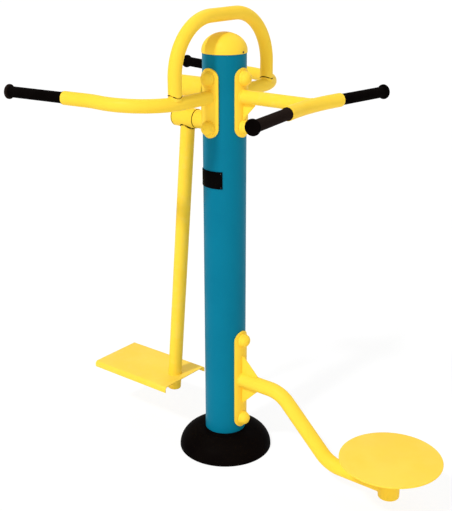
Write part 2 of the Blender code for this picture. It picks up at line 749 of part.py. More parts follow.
def make_swing_mount():
    cutter = saddle_cutter("cope_swing", SWING_SADDLE_MIDDLE, SWING_SADDLE_HEIGHT)
    bore = PIVOT_SHAFT_RADIUS + GAP
    profile = [(PIVOT_HOUSING_RADIUS, SADDLE_INNER), (PIVOT_HOUSING_RADIUS, PIVOT_HOUSING_END)]
    profile += [(bore, PIVOT_HOUSING_END), (bore, SADDLE_INNER)]
    coat = yellow_coat("pivot_housing_coat")
    housing = finish_object("pivot_housing", revolve(profile, ROUND_SIDES), coat)
    place_along(housing, (0, 0, PIVOT_HEIGHT), (-1, 0, 0))
    cut_with(housing, cutter)
    shaft_end = SLEEVE_END - SLEEVE_CAP_PLUG - RUN_GAP
    shaft_root = BRACKET_START + GAP
    profile = [(0, shaft_root), (PIVOT_SHAFT_RADIUS, shaft_root)]
    profile += [(PIVOT_SHAFT_RADIUS, shaft_end), (0, shaft_end)]
    shaft = finish_object("pivot_shaft", revolve(profile, TUBE_SIDES), bare_steel("pivot_shaft_steel"))
    place_along(shaft, (0, 0, PIVOT_HEIGHT), (-1, 0, 0))
    inner = STOP_RADIUS - STOP_WALL
    floor = STOP_END - STOP_WALL
    profile = [(STOP_RADIUS, SADDLE_INNER), (STOP_RADIUS, STOP_END), (0, STOP_END)]
    profile += [(0, floor), (inner, floor), (inner, SADDLE_INNER)]
    stop = finish_object("upper_stub", revolve(profile, ROUND_SIDES), yellow_coat("upper_stub_coat"))
    place_along(stop, (0, 0, STOP_HEIGHT), (-1, 0, 0))
    cut_with(stop, cutter)


def make_swing():
    """The pieces that swing about the pivot's axis, parented to an empty on it."""
    axis = bpy.data.objects.new("swing_axis", None)
    axis.location = (0, 0, PIVOT_HEIGHT)
    bpy.context.scene.collection.objects.link(axis)
    inner = SLEEVE_RADIUS - SLEEVE_WALL
    coat = yellow_coat("sleeve_coat")
    sleeve = ring_along_x("pivot_sleeve", SLEEVE_RADIUS, inner, SLEEVE_START, SLEEVE_END, ROUND_SIDES, coat)
    bearing_outer = inside(inner, ROUND_SIDES)
    bearing_inner = PIVOT_SHAFT_RADIUS + GAP
    inner_start = SLEEVE_START + BEARING_INSET
    outer_start = SLEEVE_END - SLEEVE_CAP_PLUG - BEARING_INSET - BEARING_LENGTH
    pieces = [sleeve]
    for name, start in (("swing_bearing_inner", inner_start), ("swing_bearing_outer", outer_start)):
        end = start + BEARING_LENGTH
        steel = bare_steel(name + "_steel")
        pieces.append(ring_along_x(name, bearing_outer, bearing_inner, start, end, TUBE_SIDES, steel))
    cap_start = SLEEVE_END + GAP
    cap_end = cap_start + SLEEVE_CAP_THICKNESS
    plug = SLEEVE_END - SLEEVE_CAP_PLUG
    profile = [(0, plug), (bearing_outer, plug), (bearing_outer, cap_start), (SLEEVE_RADIUS, cap_start)]
    profile += [(SLEEVE_RADIUS, cap_end - GRIP_EDGE), (SLEEVE_RADIUS - GRIP_EDGE, cap_end), (0, cap_end)]
    cap = finish_object("sleeve_cap", revolve(profile, ROUND_SIDES), yellow_coat("sleeve_cap_coat"))
    place_along(cap, (0, 0, PIVOT_HEIGHT), (-1, 0, 0))
    pieces.append(cap)
    pieces += make_arm_and_board()
    for piece in pieces:
        piece.parent = axis
        piece.location = piece.location - axis.location


def arm_point(height):
    """The swing arm's middle line at a height."""
    back = ARM_TOP_BACK + (PIVOT_HEIGHT - height) * math.tan(ARM_LEAN_ANGLE)
    return Vector((-back, 0, height))


def make_arm_and_board():
    line = [arm_point(PIVOT_HEIGHT), arm_point(ARM_FOOT_HEIGHT)]
    arm = finish_object("swing_arm", tube_mesh(line, ARM_RADIUS, ARM_WALL), yellow_coat("swing_arm_coat"))
    sleeve_line = [Vector((-PIVOT_HOUSING_END, 0, PIVOT_HEIGHT)), Vector((-SLEEVE_END, 0, PIVOT_HEIGHT))]
    cutter = cutter_object("cope_sleeve", rod_mesh(sleeve_line, SLEEVE_RADIUS + GAP, POST_SIDES))
    cut_with(arm, cutter)
    board = finish_object("foot_board", board_mesh(), yellow_coat("foot_board_coat"))
    passage_line = [arm_point(BOARD_TOP + ARM_RADIUS), arm_point(ARM_FOOT_HEIGHT)]
    passage = rod_mesh(passage_line, around(ARM_RADIUS, TUBE_SIDES), TUBE_SIDES)
    cut_with(board, cutter_object("board_passage", passage))
    bore = inside(ARM_RADIUS - ARM_WALL, TUBE_SIDES)
    profile = [(0, -ARM_FOOT_PLUG), (bore, -ARM_FOOT_PLUG), (bore, GAP), (ARM_RADIUS, GAP)]
    profile += [(ARM_RADIUS, GAP + ARM_FOOT_CAP), (0, GAP + ARM_FOOT_CAP)]
    cap = finish_object("arm_foot_cap", revolve(profile, TUBE_SIDES), yellow_coat("arm_foot_cap_coat"))
    place_along(cap, line[1], line[1] - line[0])
    return [arm, board, cap]


def board_mesh():
    """A sheet with its two long edges rolled down, extruded along X."""
    outer = board_side(0)
    inner = board_side(BOARD_SHEET)
    half = outer + list(reversed(inner))
    outline = half + [(-y, z) for y, z in reversed(half)]
    builder = bmesh.new()
    ends = []
    head = arm_point(BOARD_TOP).x + BOARD_HEAD
    for place in (head, head - BOARD_LENGTH):
        ends.append([builder.verts.new((place, y, z)) for y, z in outline])
    bridge(builder, ends[0], ends[1])
    builder.faces.new(ends[0])
    builder.faces.new(ends[1])
    return builder


def board_side(shrink):
    """Half of the board's cross-section line, from the middle out to the lip's foot."""
    radius = BOARD_EDGE_RADIUS - shrink
    centre_across = BOARD_HALF_WIDTH - BOARD_EDGE_RADIUS
    centre_up = BOARD_TOP - BOARD_EDGE_RADIUS
    points = arc_profile(centre_across, centre_up, radius, radius, math.pi / 2, 0, BOARD_ARC_STEPS)
    points.append((centre_across + radius, centre_up - BOARD_LIP))
    return points


def disc_arm_route():
    corners = [Vector((SADDLE_INNER, 0, DISC_ARM_HEIGHT)), Vector((DISC_ARM_BEND_START, 0, DISC_ARM_HEIGHT))]
    corners += [Vector((DISC_ARM_BEND_END, 0, DISC_ARM_LOW)), Vector((DISC_DISTANCE, 0, DISC_ARM_LOW))]
    return rounded_route(corners, (DISC_ARM_BEND_RADIUS, DISC_ARM_BEND_RADIUS))


def make_disc_station():
    cutter = saddle_cutter("cope_disc", LOWER_SADDLE_MIDDLE, LOWER_SADDLE_HEIGHT)
    arm = tube_mesh(disc_arm_route(), DISC_ARM_RADIUS, ARM_WALL)
    arm = finish_object("disc_arm", arm, yellow_coat("disc_arm_coat"))
    cut_with(arm, cutter)
    hub_line = [Vector((DISC_DISTANCE, 0, 0)), Vector((DISC_DISTANCE, 0, DISC_TOP))]
    cut_with(arm, cutter_object("cope_hub", rod_mesh(hub_line, HUB_RADIUS + GAP, POST_SIDES)))
    for name, level, rise in (
        ("disc_gusset_upper", DISC_ARM_HEIGHT + DISC_ARM_RADIUS + GAP, DISC_GUSSET_REACH),
        ("disc_gusset_lower", DISC_ARM_HEIGHT - DISC_ARM_RADIUS - GAP, -DISC_GUSSET_REACH),
    ):
        outline = gusset_outline(BRACKET_START, level, DISC_GUSSET_REACH, rise)
        finish_object(name, prism_mesh(outline, GUSSET_THICKNESS), yellow_coat(name + "_coat"))
    make_hub()


def hub_levels():
    """Heights of the hub's top, the spindle's flange and the two bearings."""
    flange_top = DISC_TOP - DISC_THICKNESS - GAP
    flange_low = flange_top - HUB_FLANGE_THICKNESS
    hub_top = flange_low - HUB_TOP_GAP
    floor = HUB_BOTTOM + HUB_FLOOR
    return flange_top, flange_low, hub_top, floor


def make_hub():
    flange_top, flange_low, hub_top, floor = hub_levels()
    inner = HUB_RADIUS - HUB_WALL
    profile = [(0, HUB_BOTTOM), (HUB_RADIUS, HUB_BOTTOM), (HUB_RADIUS, hub_top), (inner, hub_top)]
    profile += [(inner, floor), (0, floor)]
    hub = finish_object("hub_housing", revolve(profile, ROUND_SIDES), yellow_coat("hub_housing_coat"))
    hub.location = (DISC_DISTANCE, 0, 0)
    outer = inside(inner, ROUND_SIDES)
    bore = PIVOT_SHAFT_RADIUS + GAP
    low_start = floor + GAP
    high_start = hub_top - BEARING_LENGTH - BEARING_INSET / 2
    for name, start in (("disc_bearing_lower", low_start), ("disc_bearing_upper", high_start)):
        end = start + BEARING_LENGTH
        profile = [(outer, start), (outer, end), (bore, end), (bore, start)]
        bearing = finish_object(name, revolve(profile, TUBE_SIDES), bare_steel(name + "_steel"))
        bearing.location = (DISC_DISTANCE, 0, 0)
    axis = bpy.data.objects.new("disc_axis", None)
    axis.location = (DISC_DISTANCE, 0, 0)
    bpy.context.scene.collection.objects.link(axis)
    profile = [(0, floor + RUN_GAP), (PIVOT_SHAFT_RADIUS, floor + RUN_GAP), (PIVOT_SHAFT_RADIUS, flange_low)]
    profile += [(HUB_FLANGE_RADIUS, flange_low), (HUB_FLANGE_RADIUS, flange_top), (0, flange_top)]
    spindle = finish_object("disc_spindle", revolve(profile, TUBE_SIDES), bare_steel("disc_spindle_steel"))
    spindle.parent = axis
    low = DISC_TOP - DISC_THICKNESS
    profile = [(0, low), (DISC_RADIUS - DISC_EDGE, low), (DISC_RADIUS, low + DISC_EDGE)]
    profile += [(DISC_RADIUS, DISC_TOP - DISC_EDGE), (DISC_RADIUS - DISC_EDGE, DISC_TOP), (0, DISC_TOP)]
    disc = finish_object("turn_disc", revolve(profile, POST_SIDES), yellow_coat("turn_disc_coat"))
    disc.parent = axis


def build():
    clear_scene()
    holes = bolt_hole_cutters()
    make_post(holes)
    make_flange()
    for number in range(ANCHOR_COUNT):
        make_anchor(number)
        make_rib(number)
    make_base_cover()
    make_dome_cap()
    make_saddle("twist", TWIST_SIDE, UPPER_SADDLE_MIDDLE, UPPER_SADDLE_HEIGHT, holes)
    make_saddle("left", LEFT_SIDE, UPPER_SADDLE_MIDDLE, UPPER_SADDLE_HEIGHT, holes)
    make_saddle("right", RIGHT_SIDE, UPPER_SADDLE_MIDDLE, UPPER_SADDLE_HEIGHT, holes)
    make_saddle("swing", SWING_SIDE, SWING_SADDLE_MIDDLE, SWING_SADDLE_HEIGHT, holes)
    make_saddle("disc", TWIST_SIDE, LOWER_SADDLE_MIDDLE, LOWER_SADDLE_HEIGHT, holes)
    for group, angle, heights, capped in BOLT_GROUPS:
        for level, height in heights.items():
            make_bolt(group, angle, level, height, capped)
    make_twist_bar()
    make_twist_arm()
    side_cutter = saddle_cutter("cope_sides", UPPER_SADDLE_MIDDLE, UPPER_SADDLE_HEIGHT)
    make_side_handle("left", -1, side_cutter)
    make_side_handle("right", 1, side_cutter)
    make_hoop()
    make_swing_mount()
    make_swing()
    make_disc_station()


build()
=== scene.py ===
import math

import bpy
from mathutils import Matrix, Vector


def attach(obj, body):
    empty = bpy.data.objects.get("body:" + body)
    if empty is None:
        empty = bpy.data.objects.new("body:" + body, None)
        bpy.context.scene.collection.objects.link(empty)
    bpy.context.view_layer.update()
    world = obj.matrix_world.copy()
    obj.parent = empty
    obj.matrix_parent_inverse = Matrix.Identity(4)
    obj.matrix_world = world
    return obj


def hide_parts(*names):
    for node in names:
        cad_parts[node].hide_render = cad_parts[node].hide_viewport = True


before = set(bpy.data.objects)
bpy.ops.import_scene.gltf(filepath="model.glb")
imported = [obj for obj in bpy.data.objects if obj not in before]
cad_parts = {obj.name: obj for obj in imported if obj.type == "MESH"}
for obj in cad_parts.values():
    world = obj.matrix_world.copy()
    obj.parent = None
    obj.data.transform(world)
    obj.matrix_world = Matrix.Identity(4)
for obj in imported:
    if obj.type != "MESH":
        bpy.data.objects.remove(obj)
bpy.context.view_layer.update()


# Camera
# One studio view from the front right of the machine, a little above its handles. It looks
# down at the post, with the disc station coming forward on the right.
camera_place = (1.8347, -2.3237, 1.7634)
camera_turn = (math.radians(70.4295), math.radians(0.1192), math.radians(38.1524))
frame_height_px = 511
focal_px = 940.62
half_px = 0.5

bpy.ops.object.camera_add(location=camera_place, rotation=camera_turn)
camera = bpy.context.object
camera.name = "studio_camera"
camera.data.sensor_fit = "VERTICAL"
camera.data.sensor_height = 36
camera.data.lens = camera.data.sensor_height * focal_px / frame_height_px
camera.data.shift_x = -half_px / frame_height_px
camera.data.shift_y = half_px / frame_height_px
bpy.context.scene.camera = camera


# Post
# A steel pipe 140 mm across, powder coated in teal. Its coat has the fine orange peel of a
# baked powder and a slight, broad change of tone.
post_radius = 0.070
post_wall = 0.004
post_foot = 0.0123
post_end = 1.3835
smooth_sides = 128
same_spot = 0.00001
teal = (0.0009, 0.175, 0.279, 1)
teal_deep = (0.0006, 0.163, 0.264, 1)
pale_dust = (0.62, 0.58, 0.5, 1)


def new_group(name, size_label, size, *outputs):
    """A node group that reads a place and one size, with its inputs and its outputs to fill."""
    group = bpy.data.node_groups.new(name, "ShaderNodeTree")
    group.interface.new_socket(name="Vector", in_out="INPUT", socket_type="NodeSocketVector")
    socket = group.interface.new_socket(name=size_label, in_out="INPUT", socket_type="NodeSocketFloat")
    socket.default_value = size
    for label in outputs:
        group.interface.new_socket(name=label, in_out="OUTPUT", socket_type="NodeSocketFloat")
    return group, group.nodes.new("NodeGroupInput").outputs, group.nodes.new("NodeGroupOutput").inputs


def feed(tree, value, socket):
    """Link what another node gives, or set what is written out."""
    if isinstance(value, bpy.types.NodeSocket):
        tree.links.new(value, socket)
    else:
        socket.default_value = value


def noise_node(tree, vector, scale, detail, roughness=0.5):
    noise = tree.nodes.new("ShaderNodeTexNoise")
    noise.inputs["Detail"].default_value = detail
    noise.inputs["Roughness"].default_value = roughness
    tree.links.new(vector, noise.inputs["Vector"])
    feed(tree, scale, noise.inputs["Scale"])
    return noise.outputs["Fac"]


def range_node(tree, value, low, high, to_low=0.0, to_high=1.0):
    ranged = tree.nodes.new("ShaderNodeMapRange")
    ranged.interpolation_type = "SMOOTHSTEP"
    tree.links.new(value, ranged.inputs["Value"])
    for label, number in (("From Min", low), ("From Max", high), ("To Min", to_low), ("To Max", to_high)):
        ranged.inputs[label].default_value = number
    return ranged.outputs["Result"]


def math_node(tree, kind, first, second):
    sums = tree.nodes.new("ShaderNodeMath")
    sums.operation = kind
    feed(tree, first, sums.inputs[0])
    feed(tree, second, sums.inputs[1])
    return sums.outputs[0]


def times(tree, first, second):
    return math_node(tree, "MULTIPLY", first, second)


def build_coat_peel():
    """The skin of a baked powder coat: fine peel, a broad change of tone and a few specks."""
    group, given, result = new_group("coat_peel", "Peel Size", 420.0, "Peel", "Tone", "Specks")
    place = given["Vector"]
    fine = times(group, noise_node(group, place, given["Peel Size"], 3, 0.55), 0.65)
    coarse = times(group, noise_node(group, place, 95.0, 2), 0.35)
    tone = range_node(group, noise_node(group, place, 5.5, 4, 0.6), 0.32, 0.7)
    specks = range_node(group, noise_node(group, place, 310.0, 2), 0.71, 0.76)
    group.links.new(math_node(group, "ADD", fine, coarse), result["Peel"])
    group.links.new(tone, result["Tone"])
    group.links.new(specks, result["Specks"])
    return group


def build_edge_rub():
    """Where hands, shoes and cleaning rub a proud edge, broken up so that no edge is even."""
    group, given, result = new_group("edge_rub", "Reach", 0.53, "Rub")
    shape = group.nodes.new("ShaderNodeNewGeometry")
    proud = group.nodes.new("ShaderNodeMapRange")
    group.links.new(shape.outputs["Pointiness"], proud.inputs["Value"])
    group.links.new(given["Reach"], proud.inputs["From Min"])
    proud.inputs["From Max"].default_value = 0.62
    patches = range_node(group, noise_node(group, given["Vector"], 42.0, 3), 0.48, 0.66)
    group.links.new(times(group, proud.outputs["Result"], patches), result["Rub"])
    return group


def build_settled_dust():
    """A thin film of dust on what faces the sky, thicker in drifts."""
    group, given, result = new_group("settled_dust", "Drift Size", 9.0, "Film")
    shape = group.nodes.new("ShaderNodeNewGeometry")
    split = group.nodes.new("ShaderNodeSeparateXYZ")
    group.links.new(shape.outputs["Normal"], split.inputs["Vector"])
    facing = range_node(group, split.outputs["Z"], 0.55, 1.0)
    drift = noise_node(group, given["Vector"], given["Drift Size"], 5, 0.62)
    drift = range_node(group, drift, 0.4, 0.75, 0.2, 1.0)
    group.links.new(times(group, facing, drift), result["Film"])
    return group


coat_peel = build_coat_peel()
edge_rub = build_edge_rub()
settled_dust = build_settled_dust()


def mix_colours(tree, factor, first, second):
    mixed = tree.nodes.new("ShaderNodeMix")
    mixed.data_type = "RGBA"
    tree.links.new(factor, mixed.inputs["Factor"])
    feed(tree, first, mixed.inputs[6])
    feed(tree, second, mixed.inputs[7])
    return mixed.outputs[2]


def place_group(tree, group, vector, **values):
    placed = tree.nodes.new("ShaderNodeGroup")
    placed.node_tree = group
    tree.links.new(vector, placed.inputs["Vector"])
    for label, value in values.items():
        placed.inputs[label.replace("_", " ")].default_value = value
    return placed.outputs


def fill_shader(tree, shader, colour, roughness, height, strength, depth):
    """Give a shader its colour and roughness, and a fine relief."""
    tree.links.new(colour, shader.inputs["Base Color"])
    tree.links.new(roughness, shader.inputs["Roughness"])
    bump = tree.nodes.new("ShaderNodeBump")
    bump.inputs["Strength"].default_value = strength
    bump.inputs["Distance"].default_value = depth
    tree.links.new(height, bump.inputs["Height"])
    tree.links.new(bump.outputs["Normal"], shader.inputs["Normal"])


def new_finish(name, shine):
    """A material with its shader, and the place on the piece that its patterns read."""
    material = bpy.data.materials.new(name)
    material.use_nodes = True
    tree = material.node_tree
    shader = tree.nodes["Principled BSDF"]
    shader.inputs["Specular IOR Level"].default_value = shine
    return material, tree, shader, tree.nodes.new("ShaderNodeTexCoord").outputs["Object"]


def powder_coat(name, colour, deep, dust, rub, smooth=0.34, rough=0.44, shine=0.06):
    """A baked powder coat with its peel and tone, rubbed edges and a film of dust on top."""
    material, tree, shader, place = new_finish(name, shine)
    skin = place_group(tree, coat_peel, place)
    film = place_group(tree, settled_dust, place)
    base = mix_colours(tree, skin["Tone"], colour, deep)
    if rub:
        worn = place_group(tree, edge_rub, place)
        lighter = tuple(0.86 * part + 0.11 for part in colour[:3]) + (1,)
        base = mix_colours(tree, times(tree, worn["Rub"], rub), base, lighter)
    dusty = mix_colours(tree, times(tree, film["Film"], dust), base, pale_dust)
    specked = mix_colours(tree, times(tree, skin["Specks"], 0.16), dusty, deep)
    roughness = range_node(tree, skin["Tone"], 0.0, 1.0, smooth, rough)
    roughness = math_node(tree, "ADD", roughness, times(tree, film["Film"], 0.14))
    roughness = math_node(tree, "ADD", roughness, times(tree, skin["Peel"], 0.06))
    fill_shader(tree, shader, specked, roughness, skin["Peel"], strength=0.5, depth=0.00022)
    return material


def clear_selection():
    bpy.ops.object.select_all(action="DESELECT")


def take(piece):
    clear_selection()
    piece.select_set(True)
    bpy.context.view_layer.objects.active = piece


def fix_in_place():
    """Write the selected piece's place, turn and size into its mesh."""
    bpy.ops.object.transform_apply(location=True, rotation=True, scale=True)


def edit_mode():
    bpy.ops.object.mode_set(mode="EDIT")


def object_mode():
    bpy.ops.object.mode_set(mode="OBJECT")


def select_all():
    bpy.ops.mesh.select_all(action="SELECT")


def pull_out(step):
    """Extrude what is selected by a step."""
    bpy.ops.mesh.extrude_region_move(TRANSFORM_OT_translate={"value": step})


def drawn_line(name, points):
    """Start a piece in edit mode as one corner, pulled out along a line from point to point."""
    clear_selection()
    bpy.ops.mesh.primitive_plane_add(size=0.01)
    piece = bpy.context.object
    piece.name = name
    edit_mode()
    bpy.ops.mesh.select_mode(type="VERT")
    select_all()
    bpy.ops.mesh.merge(type="CENTER")
    here = Vector(points[0])
    bpy.ops.transform.translate(value=here)
    for point in points[1:]:
        there = Vector(point)
        bpy.ops.mesh.extrude_vertices_move(TRANSFORM_OT_translate={"value": there - here})
        here = there
    select_all()
    return piece


def close_shape():
    """Face every side outwards and leave edit mode."""
    select_all()
    bpy.ops.mesh.normals_make_consistent(inside=False)
    object_mode()


def turned(name, profile, sides=96):
    """A piece spun from half of its section, drawn point by point as (radius, height)."""
    piece = drawn_line(name, [(radius, 0, height) for radius, height in profile])
    bpy.ops.mesh.spin(steps=sides, angle=math.tau, center=(0, 0, 0), axis=(0, 0, 1))
    select_all()
    bpy.ops.mesh.remove_doubles(threshold=same_spot / 2)
    close_shape()
    return piece


def hand_over(piece, body, slot, material, *nodes, angle=40):
    """Finish a piece: smooth it, coat it, and fix it to the body that carries it."""
    take(piece)
    fix_in_place()
    bpy.ops.object.shade_smooth_by_angle(angle=math.radians(angle))
    piece.data.materials.clear()
    piece.data.materials.append(material)
    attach(piece, body)
    if nodes:
        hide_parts(*nodes)


teal_coat = powder_coat("teal_powder_coat", teal, teal_deep, dust=0.0, rub=0.0, shine=0.045)
post_bore = post_radius - post_wall
post_profile = [(post_bore, post_foot), (post_radius, post_foot), (post_radius, post_end)]
post_profile += [(post_bore, post_end), (post_bore, post_foot)]
post = turned("teal_post", post_profile, smooth_sides)
hand_over(post, "frame", "teal_paint", teal_coat, "main_post")


# Ground flange, ribs and anchors
# Under the cover the post stands on a welded disc of plate with four ribs, held down by four
# zinc plated studs and nuts. They are hidden but finished, for when the cover is lifted.
def refinish(material, *nodes):
    """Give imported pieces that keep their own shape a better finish."""
    for name in nodes:
        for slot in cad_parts[name].material_slots:
            slot.material = material


refinish(teal_coat, "base_flange", "base_rib_1", "base_rib_2", "base_rib_3", "base_rib_4")


def build_turning_marks():
    """Fine rings and streaks left on turned or rolled steel."""
    group, given, result = new_group("turning_marks", "Streak Size", 240.0, "Streaks", "Bloom")
    stretch = group.nodes.new("ShaderNodeMapping")
    stretch.inputs["Scale"].default_value = (1.0, 1.0, 0.08)
    group.links.new(given["Vector"], stretch.inputs["Vector"])
    streaks = noise_node(group, stretch.outputs["Vector"], given["Streak Size"], 3)
    bloom = range_node(group, noise_node(group, given["Vector"], 60.0, 4, 0.6), 0.4, 0.7)
    group.links.new(streaks, result["Streaks"])
    group.links.new(bloom, result["Bloom"])
    return group


turning_marks = build_turning_marks()


def plated_steel(name, bright, dull):
    """Steel with streaks from the machine and a soft white bloom of zinc."""
    material, tree, shader, place = new_finish(name, 0.5)
    marks = place_group(tree, turning_marks, place)
    colour = mix_colours(tree, marks["Bloom"], bright, dull)
    roughness = range_node(tree, marks["Streaks"], 0.3, 0.7, 0.24, 0.42)
    fill_shader(tree, shader, colour, roughness, marks["Streaks"], strength=0.3, depth=0.0001)
    shader.inputs["Metallic"].default_value = 1.0
    return material


zinc_steel = plated_steel("zinc_plated_steel", (0.62, 0.62, 0.6, 1), (0.48, 0.49, 0.5, 1))
refinish(zinc_steel, "anchor_bolt_1", "anchor_bolt_2", "anchor_bolt_3", "anchor_bolt_4")


# Base cover
# A black dome pressed from plastic that slides down the post and hides the ground flange. It
# has a rolled lip on the ground, and a short upright collar keeps it close to the post.
cover_radius = 0.1615
cover_height = 0.0715
cover_upstand = 0.0777
cover_skirt = 0.002
cover_collar = 0.082
cover_bore = 0.0706
cover_wall = 0.003
lip_round = 0.0016
collar_round = 0.0016
collar_foot = 0.0052
collar_flare = 0.0036
cover_black = (0.0018, 0.0011, 0.0011, 1)
cover_worn = (0.0052, 0.0036, 0.0028, 1)
dark_dust = (0.3, 0.27, 0.23, 1)


def ellipse_arc(radius, height, across, up, start, end, steps):
    points = []
    for step in range(steps + 1):
        angle = math.radians(start + (end - start) * step / steps)
        points.append((radius + across * math.cos(angle), height + up * math.sin(angle)))
    return points


def rounded(radius, height, size, start, end, steps):
    """A rounded corner of a section: a lower one where it starts below 0 degrees, else an upper."""
    rise = size if start < 0 else -size
    return ellipse_arc(radius - size, height + rise, size, size, start, end, steps)


def moulded_plastic(name, colour, worn, smooth, rough, grain, depth):
    """Moulded plastic or rubber with a fine grain, greyer where it is rubbed."""
    material, tree, shader, place = new_finish(name, 0.004)
    skin = place_group(tree, coat_peel, place, Peel_Size=grain)
    rubbed = place_group(tree, edge_rub, place, Reach=0.52)
    film = place_group(tree, settled_dust, place, Drift_Size=14.0)
    tinted = mix_colours(tree, times(tree, skin["Tone"], 0.5), colour, worn)
    tinted = mix_colours(tree, times(tree, rubbed["Rub"], 0.6), tinted, worn)
    tinted = mix_colours(tree, times(tree, film["Film"], 0.004), tinted, dark_dust)
    roughness = range_node(tree, skin["Peel"], 0.3, 0.7, smooth, rough)
    fill_shader(tree, shader, tinted, roughness, skin["Peel"], 0.6, depth)
    return material


black_dome = moulded_plastic(
    "black_cover_plastic", cover_black, cover_worn, smooth=0.42, rough=0.56, grain=520.0, depth=0.00015
)
cover_across = cover_radius - cover_collar
cover_up = cover_height - cover_skirt
inner_across = cover_across - cover_wall
inner_up = cover_up - cover_wall
lip_foot = (cover_radius - lip_round, 0)
cover_profile = [lip_foot] + rounded(cover_radius, 0, lip_round, -60, 0, 3)
cover_profile += ellipse_arc(cover_collar, cover_skirt, cover_across, cover_up, 0, 90, 28)
cover_profile.append((cover_bore + collar_foot, cover_height))
cover_profile.append((cover_bore + collar_flare, cover_height + collar_round))
collar_top = (cover_bore + collar_round, cover_upstand - collar_round)
cover_profile += ellipse_arc(*collar_top, collar_round, collar_round, 0, 180, 8)
cover_profile.append((cover_bore, cover_height - cover_wall))
cover_profile += ellipse_arc(cover_collar, cover_skirt, inner_across, inner_up, 90, 0, 28)
cover_profile += [(cover_radius - cover_wall, 0), lip_foot]
cover = turned("cover_dome", cover_profile, smooth_sides)
hand_over(cover, "frame", "black_cover", black_dome, "base_cover")


# Dome cap
# A yellow dome spun from thin sheet, pushed over the top of the post. A short straight band
# grips the post, and two small screws hold it.
yellow = (0.985, 0.668, 0.052, 1)
yellow_deep = (0.97, 0.636, 0.045, 1)
cap_radius = 0.0722
cap_bore = 0.0706
cap_rim = 1.3818
cap_spring = 1.387
cap_rise = 0.0575
cap_wall = 0.0016
cap_edge = 0.0006
cap_gap = 0.0006
screw_radius = 0.0034
screw_height = 1.3872
screw_length = 0.004
screw_shank = 0.0016
screw_sink = 0.0004
head_rim = 0.0009
head_dome = 0.0012
recess_radius = 0.0012
recess_top = 0.0016
recess_foot = 0.0011

yellow_coat = powder_coat("yellow_powder_coat", yellow, yellow_deep, dust=0.0, rub=0.3)
inner_spring = cap_bore - cap_wall
cap_profile = [(cap_bore, cap_rim), (cap_radius - cap_edge, cap_rim), (cap_radius, cap_rim + cap_edge)]
cap_profile += ellipse_arc(0, cap_spring, cap_radius, cap_rise, 0, 88, 30)
cap_profile += [(0, cap_spring + cap_rise), (0, cap_spring + cap_rise - cap_wall)]
cap_profile += ellipse_arc(0, cap_spring, inner_spring, cap_rise - cap_wall, 88, 0, 30)
cap_profile += [(inner_spring, post_end + cap_gap), (cap_bore, post_end + cap_gap), (cap_bore, cap_rim)]
dome = turned("dome_cap_sheet", cap_profile, smooth_sides)
hand_over(dome, "frame", "yellow_cap", yellow_coat, "dome_cap")


def coat_yellow(piece, body, *nodes):
    hand_over(piece, body, "yellow_paint", yellow_coat, *nodes)


def bearing_line(bearing):
    """The direction out from the post at a bearing in degrees."""
    return Vector((math.cos(math.radians(bearing)), math.sin(math.radians(bearing)), 0))


def another(piece, name):
    """A second one of a piece, with a mesh of its own."""
    take(piece)
    bpy.ops.object.duplicate(linked=False)
    bpy.context.object.name = name
    return bpy.context.object


def seat(piece, place, direction, across=None):
    """Stand a piece that was made along Z at its place, with its X across the given direction."""
    take(piece)
    onward = Vector(direction).normalized()
    side = Vector(across) if across else Vector((0, 0, 1)).cross(onward)
    side = side.normalized() if side.length else Vector((1, 0, 0))
    piece.rotation_euler = Matrix((side, onward.cross(side), onward)).transposed().to_euler()
    piece.location = place
    fix_in_place()


def seat_each(piece, places):
    """Copy a piece for every name in a table of places, and seat them all."""
    names = list(places)
    seated = [another(piece, name) for name in names[1:]]
    piece.name = names[0]
    seated.insert(0, piece)
    for copy, (place, direction) in zip(seated, places.values()):
        seat(copy, place, direction)
    return list(zip(names, seated))


screw_steel = plated_steel("blackened_screw_steel", (0.028, 0.034, 0.036, 1), (0.05, 0.058, 0.062, 1))
screw_profile = [(0, -screw_length), (screw_shank, -screw_length), (screw_shank, 0), (screw_radius, 0)]
screw_profile += ellipse_arc(0, head_rim, screw_radius, head_dome, 0, 60, 5)
screw_profile += [(recess_radius, recess_top), (recess_foot, head_rim), (0, head_rim)]
screw_places = {}
for number, bearing in enumerate((1.8, 181.8)):
    outward = bearing_line(bearing)
    screw_place = outward * (cap_radius - screw_sink) + Vector((0, 0, screw_height))
    screw_places[f"cap_screw_{number + 1}"] = (screw_place, outward)
for name, screw in seat_each(turned("cap_screw", screw_profile, 20), screw_places):
    hand_over(screw, "frame", "bare_steel", screw_steel)


# Saddle plates
# Five 6 mm steel plates with round ends, rolled to the post and bolted through it. Every arm
# is welded to one of them. The long one at the bottom carries the disc's arm.
plate_thickness = 0.006
plate_inner = 0.0703
plate_outer = 0.0763
plate_half_width = 0.032
plate_edge = 0.0022
plate_strips = 24
side_bearing = 92.5
upper_plate = (1.1235, 1.3405)
swing_plate = (1.1235, 1.3255)
disc_plate = (0.096, 0.456)


def pick(piece, wanted):
    """Select, in edit mode, the corners whose place fits."""
    bpy.ops.mesh.select_mode(type="VERT")
    bpy.ops.mesh.select_all(action="DESELECT")
    object_mode()
    for vert in piece.data.vertices:
        vert.select = wanted(vert.co)
    edit_mode()


def apply_modifiers(piece):
    take(piece)
    for modifier in list(piece.modifiers):
        bpy.ops.object.modifier_apply(modifier=modifier.name)


def round_rim(piece, width, segments):
    rim = piece.modifiers.new("rounded rim", "BEVEL")
    rim.width = width
    rim.segments = segments
    rim.limit_method = "ANGLE"
    rim.angle_limit = math.radians(50)


